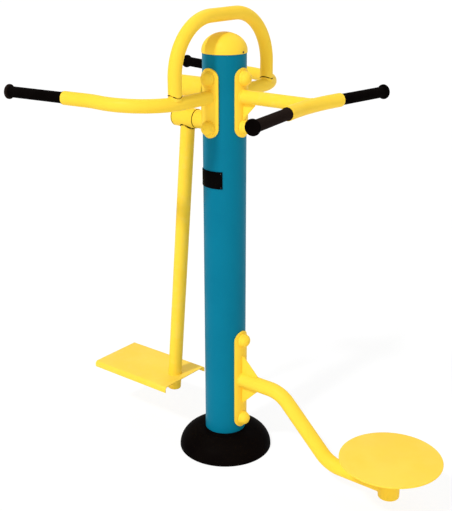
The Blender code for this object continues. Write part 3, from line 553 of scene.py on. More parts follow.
def roll_to_post(piece, radius, angle, bearing, height):
    """Bend a flat plate to a radius and stand it against the post."""
    rolled = piece.modifiers.new("rolled to the post", "SIMPLE_DEFORM")
    rolled.deform_method = "BEND"
    rolled.deform_axis = "Z"
    rolled.angle = angle
    apply_modifiers(piece)
    piece.location = (0, -radius, 0)
    fix_in_place()
    piece.rotation_euler = (0, 0, math.radians(bearing + 90))
    piece.location = (0, 0, height)
    fix_in_place()


def saddle_plate(name, low, high, bearing):
    """A round of plate, pulled apart to a long round-ended shape, given its thickness and rolled."""
    clear_selection()
    bpy.ops.mesh.primitive_circle_add(
        vertices=plate_strips * 2, radius=plate_half_width, fill_type="NGON", rotation=(math.pi / 2, 0, 0)
    )
    piece = bpy.context.object
    piece.name = name
    fix_in_place()
    stretch = (high - low) / 2 - plate_half_width
    edit_mode()
    for sign in (-1, 1):
        pick(piece, lambda place: place.z * sign > same_spot)
        bpy.ops.transform.translate(value=(0, 0, sign * stretch))
    for strip in range(1, plate_strips):
        across = -plate_half_width * math.cos(math.pi * strip / plate_strips)
        select_all()
        bpy.ops.mesh.bisect(plane_co=(across, 0, 0), plane_no=(1, 0, 0))
    select_all()
    bpy.ops.mesh.remove_doubles(threshold=same_spot)
    select_all()
    pull_out((0, -plate_thickness, 0))
    close_shape()
    round_rim(piece, plate_edge, 4)
    roll_to_post(piece, plate_inner, 2 * plate_half_width / plate_inner, bearing, (low + high) / 2)
    return piece


twist_plate = saddle_plate("twist_plate", *upper_plate, 0)
plates = {"twist": twist_plate}
for side, bearing in (("left", -side_bearing), ("right", side_bearing)):
    plates[side] = another(twist_plate, side + "_plate")
    plates[side].rotation_euler = (0, 0, math.radians(bearing))
plates["swing"] = saddle_plate("swing_plate", *swing_plate, 180)
plates["disc"] = saddle_plate("disc_plate", *disc_plate, 0)
for side, plate in plates.items():
    coat_yellow(plate, "frame", side + "_saddle")


# Bolts
# Each plate has two bolts through the post's wall, with a nut inside. Outside, a domed yellow
# cap on a thin round base snaps over each head. The swing's plate has plain button heads.
bolt_seat = 0.0766
shank_radius = 0.006
nut_radius = 0.011
nut_start = 0.0543
nut_end = 0.0643
snap_cap_radius = 0.0232
snap_cap_base = 0.008
snap_cap_dome = 0.017
base_round = 0.0012
base_slope = 0.0014
dome_sink = 0.001
pin_hole = 0.0013
pin_hole_lip = 0.0001
button_radius = 0.011
button_height = 0.006
key_mouth = 0.0034
key_foot = 0.0032
key_lip = 0.0006
key_floor = 0.003

nut_profile = [(0, nut_start), (nut_radius, nut_start), (nut_radius, nut_end), (shank_radius, nut_end)]
cap_foot = bolt_seat - 0.0022
base_top = bolt_seat + snap_cap_base
cap_top = base_top + snap_cap_dome
pin_hole_floor = cap_top - 0.003
dome_radius = snap_cap_radius - base_slope
snap_cap_profile = nut_profile + [(shank_radius, cap_foot), (snap_cap_radius, cap_foot)]
snap_cap_profile += rounded(snap_cap_radius, base_top - base_slope, base_round, 0, 90, 4)
snap_cap_profile += ellipse_arc(0, base_top - dome_sink, dome_radius, snap_cap_dome + dome_sink, 0, 85, 20)
snap_cap_profile.append((pin_hole, cap_top - pin_hole_lip))
snap_cap_profile += [(pin_hole * 0.8, pin_hole_floor), (0, pin_hole_floor)]
button_foot = bolt_seat - 0.0006
button_profile = nut_profile + [(shank_radius, button_foot), (button_radius, button_foot)]
button_profile += ellipse_arc(0, bolt_seat, button_radius, button_height, 12, 70, 8)
button_profile.append((key_mouth, bolt_seat + button_height - key_lip))
button_profile += [(key_foot, bolt_seat + key_floor), (0, bolt_seat + key_floor)]

upper_rows = {"upper": 1.3085, "lower": 1.1555}
capped_rows = (
    ("twist", 0, upper_rows),
    ("left", -side_bearing, upper_rows),
    ("right", side_bearing, upper_rows),
    ("disc", 0, {"upper": 0.424, "lower": 0.128}),
)
button_rows = (("swing", 180, {"upper": 1.31125, "lower": 1.2115}),)


def bolt_places(rows):
    places = {}
    for side, bearing, heights in rows:
        for level, height in heights.items():
            places[f"{side}_bolt_{level}"] = ((0, 0, height), bearing_line(bearing))
    return places


for node, bolt in seat_each(turned("snap_capped_bolt", snap_cap_profile, 64), bolt_places(capped_rows)):
    bolt.name = "capped_" + node
    coat_yellow(bolt, "frame", node)
for node, bolt in seat_each(turned("button_bolt", button_profile, 48), bolt_places(button_rows)):
    bolt.name = "plain_" + node
    hand_over(bolt, "frame", "bare_steel", zinc_steel, node)


# Twister handle
# A straight 42 mm tube comes out of its plate over a small corner gusset and is welded into
# the back of a handlebar. The bar bows away from the rider and takes a grip at each end.
handle_height = 1.252
tube_radius = 0.0212
tube_sides = 56
tube_root = 0.0715
bar_distance = 0.3295
bar_sweep = math.radians(8.9)
bar_bow_half = 0.113
bar_straight = 0.0255
bar_side_offset = 0.007
gusset_thickness = 0.006
gusset_nose = 0.004
gusset_gap = 0.0003
gusset_sink = 0.003
weld_radius = 0.0024
weld_steps = 96
bar_weld = 0.0016


def bent_tube(name, corners, bend_radii, radius, steps_per_turn=120):
    """A tube drawn as a ring of edges, pulled along each straight and spun round each bend."""
    corners = [Vector(corner) for corner in corners]
    ahead = (corners[1] - corners[0]).normalized()
    clear_selection()
    turn = ahead.to_track_quat("Z", "Y").to_euler()
    bpy.ops.mesh.primitive_circle_add(vertices=tube_sides, radius=radius, location=corners[0], rotation=turn)
    piece = bpy.context.object
    piece.name = name
    fix_in_place()
    edit_mode()
    select_all()
    here = corners[0]
    for corner, following, bend in zip(corners[1:-1], corners[2:], bend_radii):
        onward = (following - corner).normalized()
        turn = ahead.angle(onward)
        bend_start = corner - ahead * bend * math.tan(turn / 2)
        axis = ahead.cross(onward).normalized()
        centre = bend_start + axis.cross(ahead) * bend
        pull_out(bend_start - here)
        steps = max(4, round(steps_per_turn * turn / math.tau))
        bpy.ops.mesh.spin(steps=steps, angle=-turn, center=centre, axis=axis, use_auto_merge=False)
        here = corner + onward * bend * math.tan(turn / 2)
        ahead = onward
    pull_out(corners[-1] - here)
    bpy.ops.mesh.select_all(action="DESELECT")
    bpy.ops.mesh.select_non_manifold()
    bpy.ops.mesh.fill_holes(sides=0)
    close_shape()
    return piece


bow_radius = bar_bow_half / math.sin(bar_sweep)
bar_middle = bar_distance - bow_radius * (1 / math.cos(bar_sweep) - 1)
bar_corner = Vector((bar_middle, -bar_side_offset, handle_height))
bar_reach = bar_straight + bow_radius * math.tan(bar_sweep)
bar_ends = {}
for side, sign in (("left", -1), ("right", 1)):
    direction = Vector((math.sin(bar_sweep), sign * math.cos(bar_sweep), 0))
    bar_ends["twist_" + side] = (bar_corner + direction * bar_reach, direction)
bar_route = (bar_ends["twist_left"][0], bar_corner, bar_ends["twist_right"][0])
bar = bent_tube("twist_handlebar", bar_route, (bow_radius,), tube_radius, steps_per_turn=480)
coat_yellow(bar, "frame", "twist_bar")
arm_root = (tube_root, 0, handle_height)
arm = bent_tube("twist_straight_arm", (arm_root, (bar_distance, 0, handle_height)), (), tube_radius)
coat_yellow(arm, "frame", "twist_arm")


def corner_gusset(name, level, reach, rise, flat=0):
    """A triangle of plate with short noses: its outline drawn, filled, and given its thickness."""
    up = math.copysign(1, rise)
    root = bolt_seat - 0.002
    tip = bolt_seat + reach
    outline = [(root, level - up * gusset_sink), (tip, level - up * gusset_sink)]
    outline.append((tip, level + up * gusset_nose))
    if flat:
        outline.append((bolt_seat + gusset_nose, level + rise - up * flat))
    outline += [(bolt_seat + gusset_nose, level + rise), (root, level + rise)]
    piece = drawn_line(name, [(distance, -gusset_thickness / 2, height) for distance, height in outline])
    bpy.ops.mesh.edge_face_add()
    select_all()
    pull_out((0, gusset_thickness, 0))
    close_shape()
    round_rim(piece, width=0.0009, segments=3)
    apply_modifiers(piece)
    return piece


under_arm = handle_height - tube_radius - gusset_gap
gusset = corner_gusset("twist_corner_gusset", under_arm, reach=0.0425, rise=-0.0511, flat=0.007)
coat_yellow(gusset, "frame", "twist_gusset")

weld_ripple = bpy.data.textures.new("weld_ripple", "CLOUDS")
weld_ripple.noise_scale = 0.006


def weld_bead(name, place, outward, tube, carrier, across=None, thickness=weld_radius):
    """A weld: the line where a tube meets a round carrier, drawn, thickened and rippled."""
    line = []
    for step in range(weld_steps):
        turn = math.tau * step / weld_steps
        side = tube * math.cos(turn)
        line.append((side, tube * math.sin(turn), math.sqrt(max(0, carrier**2 - side**2))))
    piece = drawn_line(name, line)
    ends = (Vector(line[0]), Vector(line[-1]))
    pick(piece, lambda spot: min((spot - end).length for end in ends) < same_spot)
    bpy.ops.mesh.edge_face_add()
    object_mode()
    bpy.ops.object.convert(target="CURVE")
    piece.data.bevel_depth = thickness
    piece.data.bevel_resolution = 4
    bpy.ops.object.convert(target="MESH")
    piece = bpy.context.object
    edit_mode()
    select_all()
    bpy.ops.mesh.remove_doubles(threshold=same_spot)
    close_shape()
    ripple = piece.modifiers.new("ripple", "DISPLACE")
    ripple.texture = weld_ripple
    ripple.strength = thickness * 0.5
    apply_modifiers(piece)
    seat(piece, place, outward, across)
    return piece


def yellow_weld(body, *bead):
    coat_yellow(weld_bead(*bead), body)


root_bead = weld_bead("twist_tube_weld", (0, 0, handle_height), (1, 0, 0), tube_radius, plate_outer)
for side, bearing in (("left", -90), ("right", 90)):
    bead = another(root_bead, side + "_tube_weld")
    bead.rotation_euler = (0, 0, math.radians(bearing))
    coat_yellow(bead, "frame")
coat_yellow(root_bead, "frame")
bar_joint = (bar_distance, 0, handle_height)
yellow_weld("frame", "handlebar_weld", bar_joint, (-1, 0, 0), tube_radius, tube_radius, (0, 0, 1), bar_weld)


# Side handles
# From a plate at each side of the post a tube goes out, turns back past the rider of the
# swing and ends in a grip, with a slight outward kink just before it.
side_reach = 0.3715
side_bend = 0.182
knee_back = 0.210
knee_bend = 0.220
knee_rise = 0.0075
end_back = 0.0995
end_out = 0.0182
end_rise = 0.0015

side_corner = Vector((0, side_reach, handle_height))
side_knee = Vector((-knee_back, side_reach, handle_height + knee_rise))
side_end = side_knee + Vector((-end_back, end_out, end_rise))
side_route = (Vector((0, tube_root, handle_height)), side_corner, side_knee, side_end)
right_tube = bent_tube("right_side_handle", side_route, (side_bend, knee_bend), tube_radius)
left_tube = another(right_tube, "left_side_handle")
left_tube.scale = (1, -1, 1)
fix_in_place()
edit_mode()
close_shape()
coat_yellow(right_tube, "frame", "right_tube")
coat_yellow(left_tube, "frame", "left_tube")


# Hoop
# One tube bent to an arch over the post. Its two feet are coped and welded on top of the side
# handles, where these begin to turn back. Each weld is coloured dark as a painted shade line in its toe.
hoop_past_bend = 0.0412
hoop_half_width = side_reach - side_bend + hoop_past_bend
hoop_top = 1.4965
hoop_bend = 0.170
hoop_back = 0.0047
hoop_foot = handle_height + tube_radius * 0.5
foot_turn = math.asin(hoop_past_bend / side_bend)
hoop_seam_round = 0.0285
hoop_seam_tube = tube_radius - 0.0013
hoop_seam = 0.0021


def painted_seam_shade(name, seam_base, shade_dark):
    """A painted shade line: a weld or joint coloured dark and broken up by noise, never quite even."""
    material, tree, shader, place = new_finish(name, 0.02)
    skin = place_group(tree, coat_peel, place)
    breaks = range_node(tree, noise_node(tree, place, 70.0, 3, 0.6), 0.42, 0.5)
    shaded = mix_colours(tree, breaks, seam_base, shade_dark)
    specked = mix_colours(tree, times(tree, skin["Specks"], 0.3), shaded, seam_base)
    roughness = range_node(tree, skin["Peel"], 0.3, 0.7, 0.6, 0.8)
    fill_shader(tree, shader, specked, roughness, skin["Peel"], strength=0.5, depth=0.0002)
    return material


# Painted shade: the weld beads are a darker yellow broken by near black patches, standing for the shade in
# each joint.
weld_shade_coat = painted_seam_shade("weld_toe_painted_shade", (0.55, 0.33, 0.02, 1), (0.006, 0.003, 0.002, 1))
hoop_corners = ((-1, hoop_foot), (-1, hoop_top), (1, hoop_top), (1, hoop_foot))
hoop_route = [(-hoop_back, side * hoop_half_width, height) for side, height in hoop_corners]
hoop = bent_tube("arched_hoop", hoop_route, (hoop_bend, hoop_bend), tube_radius)
coat_yellow(hoop, "frame", "hoop")
for side, sign in (("left", -1), ("right", 1)):
    foot = (-hoop_back, sign * hoop_half_width, handle_height)
    across = (math.cos(foot_turn), sign * math.sin(foot_turn), 0)
    bead = weld_bead(side + "_hoop_weld", foot, (0, 0, 1), hoop_seam_tube, hoop_seam_round, across, hoop_seam)
    # Each hoop weld gets the painted shade colour.
    hand_over(bead, "frame", "yellow_paint", weld_shade_coat)


# Grips
# A turned stub closes each tube's end and carries a grip of black rubber: a ribbed and grooved
# barrel with a thin collar, and a separate round stop. The twister's left barrel and the left
# side grip's stop are coloured paler as a painted sheen.
grip_radius = 0.0174
grip_length = 0.213
grip_collar_radius = 0.0198
grip_collar_length = 0.0025
grip_stop_radius = 0.0235
grip_stop_length = 0.009
stub_collar = 0.0043
stub_radius = 0.0125
grip_bore = 0.0128
grip_ribs = 30
rib_depth = 0.0006
groove_pitch = 0.0062
groove_slope = 0.18
lines_per_rib = 4
collar_face = 0.003
collar_edge = 0.0012
valley_run_in = 0.001
plain_end = 0.0025
plug_radius = 0.0179
plug_length = 0.03
stub_gap = 0.0001
stub_edge = (0.0036, 0.0038)
stub_edge_foot = 0.0005
stop_lap = 0.0008
stop_round = 0.0035
stop_rise = 0.003
stop_flat = 0.010
stop_crown = 0.0002
rubber_black = (0.0014, 0.0008, 0.0007, 1)
rubber_worn = (0.0062, 0.0046, 0.004, 1)
# Paler rubber colours, a painted sheen for two of the grips.
sheen_rubber_base = (0.0125, 0.0078, 0.0062, 1)
sheen_rubber_light = (0.02, 0.0125, 0.01, 1)

black_rubber = moulded_plastic(
    "black_grip_rubber", rubber_black, rubber_worn, smooth=0.5, rough=0.66, grain=700.0, depth=0.0002
)
# Painted sheen: a paler rubber for the twister's left barrel and the left side grip's stop.
sheen_painted_rubber = moulded_plastic(
    "grip_rubber_painted_sheen", sheen_rubber_base, sheen_rubber_light, smooth=0.5, rough=0.66, grain=700.0, depth=0.0002
)
mirror = Vector((1, -1, 1))
grip_places = {
    "right": (side_end, (side_end - side_knee).normalized()),
    "left": (side_end * mirror, ((side_end - side_knee) * mirror).normalized()),
    **bar_ends,
}
stub_end = grip_length - 0.006
stub_profile = [(0, -plug_length), (plug_radius, -plug_length), (plug_radius, stub_gap)]
stub_profile.append((tube_radius - stub_gap, stub_gap))
stub_profile += ellipse_arc(tube_radius - stub_edge[0], stub_edge_foot, *stub_edge, 8, 90, 8)
stub_profile += [(stub_radius, stub_collar), (stub_radius, stub_end), (0, stub_end)]
for side, stub in seat_each(turned("end_stub", stub_profile, tube_sides), grip_places):
    stub.name = side + "_end_stub"
    coat_yellow(stub, "frame", side + "_stub")

grip_start = stub_collar + 0.0003
barrel_end = grip_start + grip_length - grip_stop_length


def ribbed_grip(name):
    """The barrel's grooves come from the section, and its ribs from drawing in every fourth line."""
    first = grip_start + grip_collar_length + 0.003
    last = barrel_end - 0.004
    valley = grip_radius - rib_depth
    profile = [(grip_bore, grip_start), (grip_collar_radius - collar_face, grip_start)]
    profile += rounded(grip_collar_radius, grip_start, collar_edge, -90, 90, 8)
    profile.append((valley, first - valley_run_in))
    count = round((last - first) / groove_pitch)
    pitch = (last - first) / count
    for number in range(count):
        low = first + number * pitch
        profile += [(valley, low), (grip_radius, low + pitch * groove_slope)]
        profile += [(grip_radius, low + pitch * (1 - groove_slope)), (valley, low + pitch)]
    profile += [(grip_radius, barrel_end - plain_end), (grip_radius, barrel_end)]
    profile += [(grip_bore, barrel_end), (grip_bore, grip_start)]
    grip = turned(name, profile, grip_ribs * lines_per_rib)
    edit_mode()

    def on_a_rib_line(place):
        line = round(math.atan2(place.y, place.x) / math.tau * grip_ribs * lines_per_rib) % lines_per_rib
        outside = math.hypot(place.x, place.y) > grip_radius - rib_depth * 0.5
        return line == 0 and outside and first < place.z < last

    pick(grip, on_a_rib_line)
    drawn_in = valley / grip_radius
    bpy.ops.transform.resize(value=(drawn_in, drawn_in, 1), center_override=(0, 0, 0))
    object_mode()
    return grip


for side, grip in seat_each(ribbed_grip("ribbed_grip"), grip_places):
    grip.name = side + "_ribbed_grip"
    # The twister's left barrel gets the paler rubber, a painted sheen.
    rubber = sheen_painted_rubber if side == "twist_left" else black_rubber
    hand_over(grip, "frame", "black_grip", rubber, side + "_grip", angle=28)

stop_end = barrel_end + grip_stop_length
stop_foot = barrel_end - stop_lap
stop_middle = grip_stop_radius - stop_round
stop_profile = [(0, stop_foot), (grip_radius - stop_lap, stop_foot)]
stop_profile += ellipse_arc(stop_middle, barrel_end + stop_rise, stop_round, stop_round, -70, 0, 5)
stop_profile += rounded(grip_stop_radius, stop_end, stop_round, 0, 80, 6)
stop_profile += [(stop_flat, stop_end + stop_crown / 2), (0, stop_end + stop_crown)]
for side, stop in seat_each(turned("grip_stop", stop_profile, 64), grip_places):
    stop.name = side + "_grip_stop"
    # The left side grip's stop gets the paler rubber, a painted sheen.
    rubber = sheen_painted_rubber if side == "left" else black_rubber
    hand_over(stop, "frame", "black_grip", rubber, side + "_grip")


# Swing pivot
# Behind the post a short housing holds a fixed shaft, and a sleeve turns on it with a bearing
# near each end. A seal fills the gap between the two, and a gasket lies under the sleeve's
# lid. Both are coloured dark brown to black as painted shade in these seams. A closed stub
# stands above, square to the post.
pivot_height = 1.160
housing_radius = 0.030
housing_end = 0.1119
sleeve_radius = 0.032
sleeve_start = 0.1134
sleeve_end = 0.1981
sleeve_bore = 0.026
shaft_bore = 0.0128
upper_stub_height = 1.263
upper_stub_radius = 0.034
upper_stub_end = 0.192
bracket_foot = 0.072
seal_bore = 0.0262
seal_radius = 0.0308
seal_edge = 0.0002
gasket_radius = 0.0319
pivot_edge = 0.001
lid_end_edge = 0.0014
stub_rim = 0.002
lid_plug_radius = 0.0255
lid_inset = 0.0012
lid_round = (0.0022, 0.002)
lid_thickness = 0.004
backward = Vector((-1, 0, 0))
pivot_axis = Vector((0, 0, pivot_height))

refinish(zinc_steel, "pivot_shaft", "swing_bearing_inner", "swing_bearing_outer")
housing_profile = [(shaft_bore, bracket_foot), (housing_radius, bracket_foot)]
housing_profile += rounded(housing_radius, housing_end, pivot_edge, 0, 90, 4)
housing_profile += [(shaft_bore, housing_end), (shaft_bore, bracket_foot)]
housing = turned("pivot_root_housing", housing_profile)
seat(housing, pivot_axis, backward)
coat_yellow(housing, "frame", "pivot_housing")
yellow_weld("frame", "pivot_housing_weld", pivot_axis, backward, housing_radius, plate_outer)

upper_profile = [(0, bracket_foot), (upper_stub_radius, bracket_foot)]
upper_profile += rounded(upper_stub_radius, upper_stub_end, stub_rim, 0, 90, 6)
upper_profile.append((0, upper_stub_end))
upper_stub = turned("upper_closed_stub", upper_profile)
seat(upper_stub, (0, 0, upper_stub_height), backward)
coat_yellow(upper_stub, "frame", "upper_stub")
yellow_weld("frame", "upper_stub_weld", (0, 0, upper_stub_height), backward, upper_stub_radius, plate_outer)

sleeve_profile = [(sleeve_bore, sleeve_start)]
sleeve_profile += rounded(sleeve_radius, sleeve_start, pivot_edge, -90, 0, 4)
sleeve_profile += rounded(sleeve_radius, sleeve_end, lid_end_edge, 0, 90, 4)
sleeve_profile += [(sleeve_bore, sleeve_end), (sleeve_bore, sleeve_start)]
sleeve = turned("turning_sleeve", sleeve_profile)
seat(sleeve, pivot_axis, backward)
coat_yellow(sleeve, "swing", "pivot_sleeve")

# Painted shade: the seal and gasket are dark brown broken by near black, standing for the shade in the
# pivot's seams.
pivot_seam_shade = painted_seam_shade("pivot_seal_painted_shade", (0.05, 0.025, 0.008, 1), (0.008, 0.004, 0.003, 1))
seal_start = housing_end - 0.0007
seal_end = sleeve_start + 0.0006
seal_face = seal_radius - seal_edge
seal_profile = [(seal_bore, seal_start), (seal_face, seal_start), (seal_radius, seal_start + seal_edge)]
seal_profile += [(seal_radius, seal_end - seal_edge), (seal_face, seal_end), (seal_bore, seal_end)]
seal = turned("pivot_seal", seal_profile + [(seal_bore, seal_start)])
seat(seal, pivot_axis, backward)
# The seal is coloured with the painted seam shade.
hand_over(seal, "frame", "black_cover", pivot_seam_shade)
gasket_start = sleeve_end - 0.0009
gasket_end = sleeve_end + 0.0013
gasket_profile = [(seal_bore, gasket_start), (gasket_radius, gasket_start), (gasket_radius, gasket_end)]
gasket_profile += [(seal_bore, gasket_end), (seal_bore, gasket_start)]
gasket = turned("lid_gasket", gasket_profile)
seat(gasket, pivot_axis, backward)
# The gasket is coloured with the painted seam shade.
hand_over(gasket, "swing", "black_cover", pivot_seam_shade)

lid_start = sleeve_end + 0.0003
lid_plug = sleeve_end - 0.006
lid_profile = [(0, lid_plug), (lid_plug_radius, lid_plug), (lid_plug_radius, lid_start)]
lid_profile.append((sleeve_radius - lid_inset, lid_start))
lid_profile += ellipse_arc(sleeve_radius - lid_round[0], lid_start + lid_round[1], *lid_round, -50, 90, 10)
lid_profile.append((0, lid_start + lid_thickness))
lid = turned("sleeve_end_lid", lid_profile)
seat(lid, pivot_axis, backward)
coat_yellow(lid, "swing", "sleeve_cap")


# Swing arm
# A 48 mm tube coped and welded under the sleeve, leaning back a little on its way down to
# the foot board, with a thin cap in its lower end.
arm_radius = 0.02415
arm_lean = math.radians(4.99)
arm_back = 0.1516
arm_foot = 0.152
arm_cope = 0.018
arm_seam = 0.0025
foot_plug_length = 0.02
foot_plug_radius = 0.0204
foot_gap = 0.0003
foot_end = 0.0033
foot_round = 0.0015


def arm_point(height):
    return Vector((-arm_back - (pivot_height - height) * math.tan(arm_lean), 0, height))


arm_top = arm_point(pivot_height)
arm_end = arm_point(arm_foot)
arm_down = (arm_end - arm_top).normalized()
swing_tube = bent_tube("swing_tube", (arm_point(pivot_height - arm_cope), arm_end), (), arm_radius)
coat_yellow(swing_tube, "swing", "swing_arm")
bead = weld_bead("swing_arm_weld", arm_top, arm_down, arm_radius, sleeve_radius, (0, 1, 0), arm_seam)
# The arm's weld gets the painted shade colour, a dark line where arm meets sleeve.
hand_over(bead, "swing", "yellow_paint", weld_shade_coat)
foot_profile = [(0, -foot_plug_length), (foot_plug_radius, -foot_plug_length), (foot_plug_radius, foot_gap)]
foot_profile += [(arm_radius - foot_gap, foot_gap), (arm_radius, 2 * foot_gap)]
foot_profile += rounded(arm_radius, foot_end, foot_round, 0, 90, 4)
foot_profile.append((0, foot_end))
foot_cap = turned("arm_end_cap", foot_profile, tube_sides)
seat(foot_cap, arm_end, arm_down)
coat_yellow(foot_cap, "swing", "arm_foot_cap")


# Foot board
# A sheet of 3 mm steel with both long edges rolled down to a lip and its ends left open. The
# arm passes through a hole in it and is welded round.
board_head_from_arm = 0.050
board_length = 0.351
board_half_width = 0.110
board_top = 0.2055
board_sheet = 0.003
board_edge = 0.011
board_lip = 0.011
thin_weld = 0.0018


def rolled_board(name):
    """The section's line is drawn from lip to lip, pulled along the board and given its sheet."""
    bend_height = board_top - board_edge
    half = [(board_half_width, bend_height - board_lip)]
    half += ellipse_arc(board_half_width - board_edge, bend_height, board_edge, board_edge, 0, 90, 8)
    line = half + [(-across, up) for across, up in reversed(half)]
    head = arm_point(board_top).x + board_head_from_arm
    piece = drawn_line(name, [(head, across, up) for across, up in line])
    pull_out((-board_length, 0, 0))
    close_shape()
    top_face = max(piece.data.polygons, key=lambda face: face.center.z)
    sheet = piece.modifiers.new("sheet", "SOLIDIFY")
    sheet.thickness = board_sheet
    sheet.offset = -1 if top_face.normal.z > 0 else 1
    round_rim(piece, width=0.0007, segments=2)
    apply_modifiers(piece)
    edit_mode()
    close_shape()
    return piece


board = rolled_board("rolled_foot_board")
tread_coat = powder_coat(
    "tread_powder_coat", yellow, yellow_deep, dust=0.06, rub=0.5, smooth=0.38, rough=0.5, shine=0.25
)
hand_over(board, "swing", "yellow_paint", tread_coat, "foot_board")
board_joint = arm_point(board_top + 0.0006)
board_hole = arm_radius + 0.0004
yellow_weld("swing", "board_weld", board_joint, (0, 0, 1), board_hole, 0, None, thin_weld)


# Disc arm
# A heavier tube leaves the long lower plate, drops in an S and runs level into the hub of
# the disc. A gusset above and one below stiffen its root.
disc_distance = 0.657
disc_arm_radius = 0.0248
disc_arm_height = 0.276
disc_arm_low = 0.0785
disc_arm_bend = 0.105
disc_bend_start = 0.235
disc_bend_end = 0.436
disc_gusset = 0.062
hub_radius = 0.034

disc_route = ((tube_root, 0, disc_arm_height), (disc_bend_start, 0, disc_arm_height))
disc_route += ((disc_bend_end, 0, disc_arm_low), (disc_distance, 0, disc_arm_low))
disc_tube = bent_tube("disc_s_arm", disc_route, (disc_arm_bend, disc_arm_bend), disc_arm_radius)
coat_yellow(disc_tube, "frame", "disc_arm")
for level, sign in (("upper", 1), ("lower", -1)):
    corner = disc_arm_height + sign * (disc_arm_radius + gusset_gap)
    gusset = corner_gusset("disc_corner_gusset_" + level, corner, disc_gusset, sign * disc_gusset)
    coat_yellow(gusset, "frame", "disc_gusset_" + level)
yellow_weld("frame", "disc_arm_weld", (0, 0, disc_arm_height), (1, 0, 0), disc_arm_radius, plate_outer)
hub_axis = Vector((disc_distance, 0, 0))
hub_joint = hub_axis + Vector((0, 0, disc_arm_low))
yellow_weld("frame", "hub_weld", hub_joint, backward, disc_arm_radius, hub_radius, None, thin_weld)


# Hub and disc
# A turned steel cup holds two bearings and the spindle that the disc turns on. The disc is a
# round of 5 mm plate with its edge just broken, coated like the rest.
hub_bore = 0.028
hub_bottom = 0.047
hub_top = 0.1677
hub_floor = 0.055
hub_round = 0.004
hub_edge = 0.001
disc_radius = 0.1618
disc_top = 0.183
disc_low = 0.178
disc_edge = 0.0018

refinish(zinc_steel, "disc_spindle", "disc_bearing_lower", "disc_bearing_upper")
hub_profile = [(0, hub_bottom)] + rounded(hub_radius, hub_bottom, hub_round, -90, 0, 8)
hub_profile += [(hub_radius, hub_top - hub_edge), (hub_radius - hub_edge, hub_top), (hub_bore, hub_top)]
hub_profile += [(hub_bore, hub_floor), (0, hub_floor)]
hub = turned("hub_cup", hub_profile)
seat(hub, hub_axis, (0, 0, 1))
coat_yellow(hub, "frame", "hub_housing")

disc_profile = [(0, disc_low), (disc_radius - disc_edge, disc_low)]
disc_profile += rounded(disc_radius, disc_low, disc_edge, -80, 0, 5)
disc_profile += rounded(disc_radius, disc_top, disc_edge, 0, 90, 5)
disc_profile.append((0, disc_top))
disc = turned("twist_disc", disc_profile, 160)
seat(disc, hub_axis, (0, 0, 1))
hand_over(disc, "disc", "yellow_paint", tread_coat, "turn_disc")


# Blank plate on the post
# A black plate 2.2 mm thick, rolled to the post below the handles and held by a small rivet
# at each corner. It is bare.
blank_radius = 0.0702
blank_thickness = 0.0022
blank_half_angle = 40
blank_low = 0.9605
blank_high = 1.0163
blank_bearing = -97.6
rivet_inset = 0.0052
rivet_radius = 0.0019
rivet_length = 0.002
rivet_shank = 0.0011
rivet_dome = 0.0011
lacquer_black = (0.0016, 0.0011, 0.0011, 1)
lacquer_worn = (0.0042, 0.0035, 0.003, 1)

blank_black = moulded_plastic(
    "black_plate_lacquer", lacquer_black, lacquer_worn, smooth=0.34, rough=0.46, grain=600.0, depth=0.00008
)
clear_selection()
bpy.ops.mesh.primitive_grid_add(x_subdivisions=32, y_subdivisions=2, size=1, rotation=(math.pi / 2, 0, 0))
blank = bpy.context.object
blank.name = "blank_plate"
blank.scale = (2 * blank_radius * math.radians(blank_half_angle), blank_high - blank_low, 1)
fix_in_place()
edit_mode()
select_all()
pull_out((0, -blank_thickness, 0))
close_shape()
round_rim(blank, width=0.0003, segments=2)
blank_bend = math.radians(2 * blank_half_angle)
roll_to_post(blank, blank_radius, blank_bend, blank_bearing, (blank_low + blank_high) / 2)
hand_over(blank, "frame", "black_cover", blank_black)

rivet_profile = [(0, -rivet_length), (rivet_shank, -rivet_length), (rivet_shank, 0), (rivet_radius, 0)]
rivet_profile += ellipse_arc(0, 0, rivet_radius, rivet_dome, 8, 88, 6) + [(0, rivet_dome)]
rivet_turn = blank_half_angle - math.degrees(rivet_inset / blank_radius)
rivet_places = {}
for side, sign in (("left", -1), ("right", 1)):
    outward = bearing_line(blank_bearing + sign * rivet_turn)
    for level, height in (("low", blank_low + rivet_inset), ("high", blank_high - rivet_inset)):
        rivet_place = outward * (blank_radius + blank_thickness) + Vector((0, 0, height))
        rivet_places[f"plate_rivet_{side}_{level}"] = (rivet_place, outward)
for name, rivet in seat_each(turned("plate_rivet", rivet_profile, 16), rivet_places):
    hand_over(rivet, "frame", "bare_steel", screw_steel)


# Studio
# A white floor that runs out of sight, under an even sky. A crisp key light stands high on the
# left handle's side and a soft one high behind. Two low soft ones fill the shade.
floor_size = 60
floor_grey = (0.92, 0.92, 0.92, 1)
floor_glow = 1.045
plain_white = (1, 1, 1, 1)
lamp_distance = 4


def white_to_camera(tree, lit, white, leave):
    """Show plain white to the camera and to mirrors, and the lit shader to everything else."""
    path = tree.nodes.new("ShaderNodeLightPath")
    seen = math_node(tree, "MAXIMUM", path.outputs["Is Camera Ray"], path.outputs["Is Glossy Ray"])
    seen = math_node(tree, "MAXIMUM", seen, path.outputs["Is Transmission Ray"])
    split = tree.nodes.new("ShaderNodeMixShader")
    tree.links.new(lit, split.inputs[1])
    tree.links.new(white, split.inputs[2])
    tree.links.new(split.outputs["Shader"], leave.inputs["Surface"])
    return seen, split


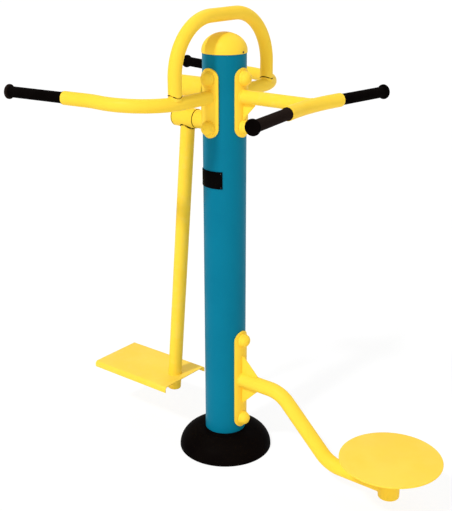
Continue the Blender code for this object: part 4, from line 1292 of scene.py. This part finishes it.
def plain_light(tree, kind, strength):
    light = tree.nodes.new(kind)
    light.inputs["Color"].default_value = plain_white
    light.inputs["Strength"].default_value = strength
    return light.outputs[0]


def studio_floor(shadow_share):
    clear_selection()
    bpy.ops.mesh.primitive_plane_add(size=floor_size)
    floor = bpy.context.object
    floor.name = "studio_floor"
    material = bpy.data.materials.new("studio_floor_white")
    material.use_nodes = True
    tree = material.node_tree
    tree.nodes.remove(tree.nodes["Principled BSDF"])
    matte = tree.nodes.new("ShaderNodeBsdfDiffuse")
    matte.inputs["Color"].default_value = floor_grey
    glow = plain_light(tree, "ShaderNodeEmission", floor_glow)
    leave = tree.nodes["Material Output"]
    seen, split = white_to_camera(tree, matte.outputs["BSDF"], glow, leave)
    tree.links.new(times(tree, seen, 1 - shadow_share), split.inputs["Fac"])
    floor.data.materials.append(material)


def studio_sky(strength):
    world = bpy.context.scene.world or bpy.data.worlds.new("studio_sky")
    bpy.context.scene.world = world
    world.use_nodes = True
    tree = world.node_tree
    tree.nodes.clear()
    sky = plain_light(tree, "ShaderNodeBackground", strength)
    white = plain_light(tree, "ShaderNodeBackground", 1.0)
    leave = tree.nodes.new("ShaderNodeOutputWorld")
    seen, split = white_to_camera(tree, sky, white, leave)
    tree.links.new(seen, split.inputs["Fac"])


def studio_lamp(name, bearing, elevation, power, spread):
    lift = math.radians(elevation)
    away = bearing_line(bearing) * math.cos(lift) + Vector((0, 0, math.sin(lift)))
    clear_selection()
    turn = away.to_track_quat("Z", "Y").to_euler()
    bpy.ops.object.light_add(type="SUN", location=away * lamp_distance, rotation=turn)
    lamp = bpy.context.object
    lamp.name = name
    lamp.data.energy = power
    lamp.data.angle = math.radians(spread)


studio_floor(0.17)
studio_sky(0.46)
studio_lamp("key_light", -92, 50, 1.8, 6)
studio_lamp("back_light", 120, 55, 0.5, 40)
studio_lamp("low_fill_light", -62, 8, 0.75, 40)
studio_lamp("side_fill_light", 45, 15, 0.3, 40)
bpy.context.scene.view_settings.view_transform = "Standard"
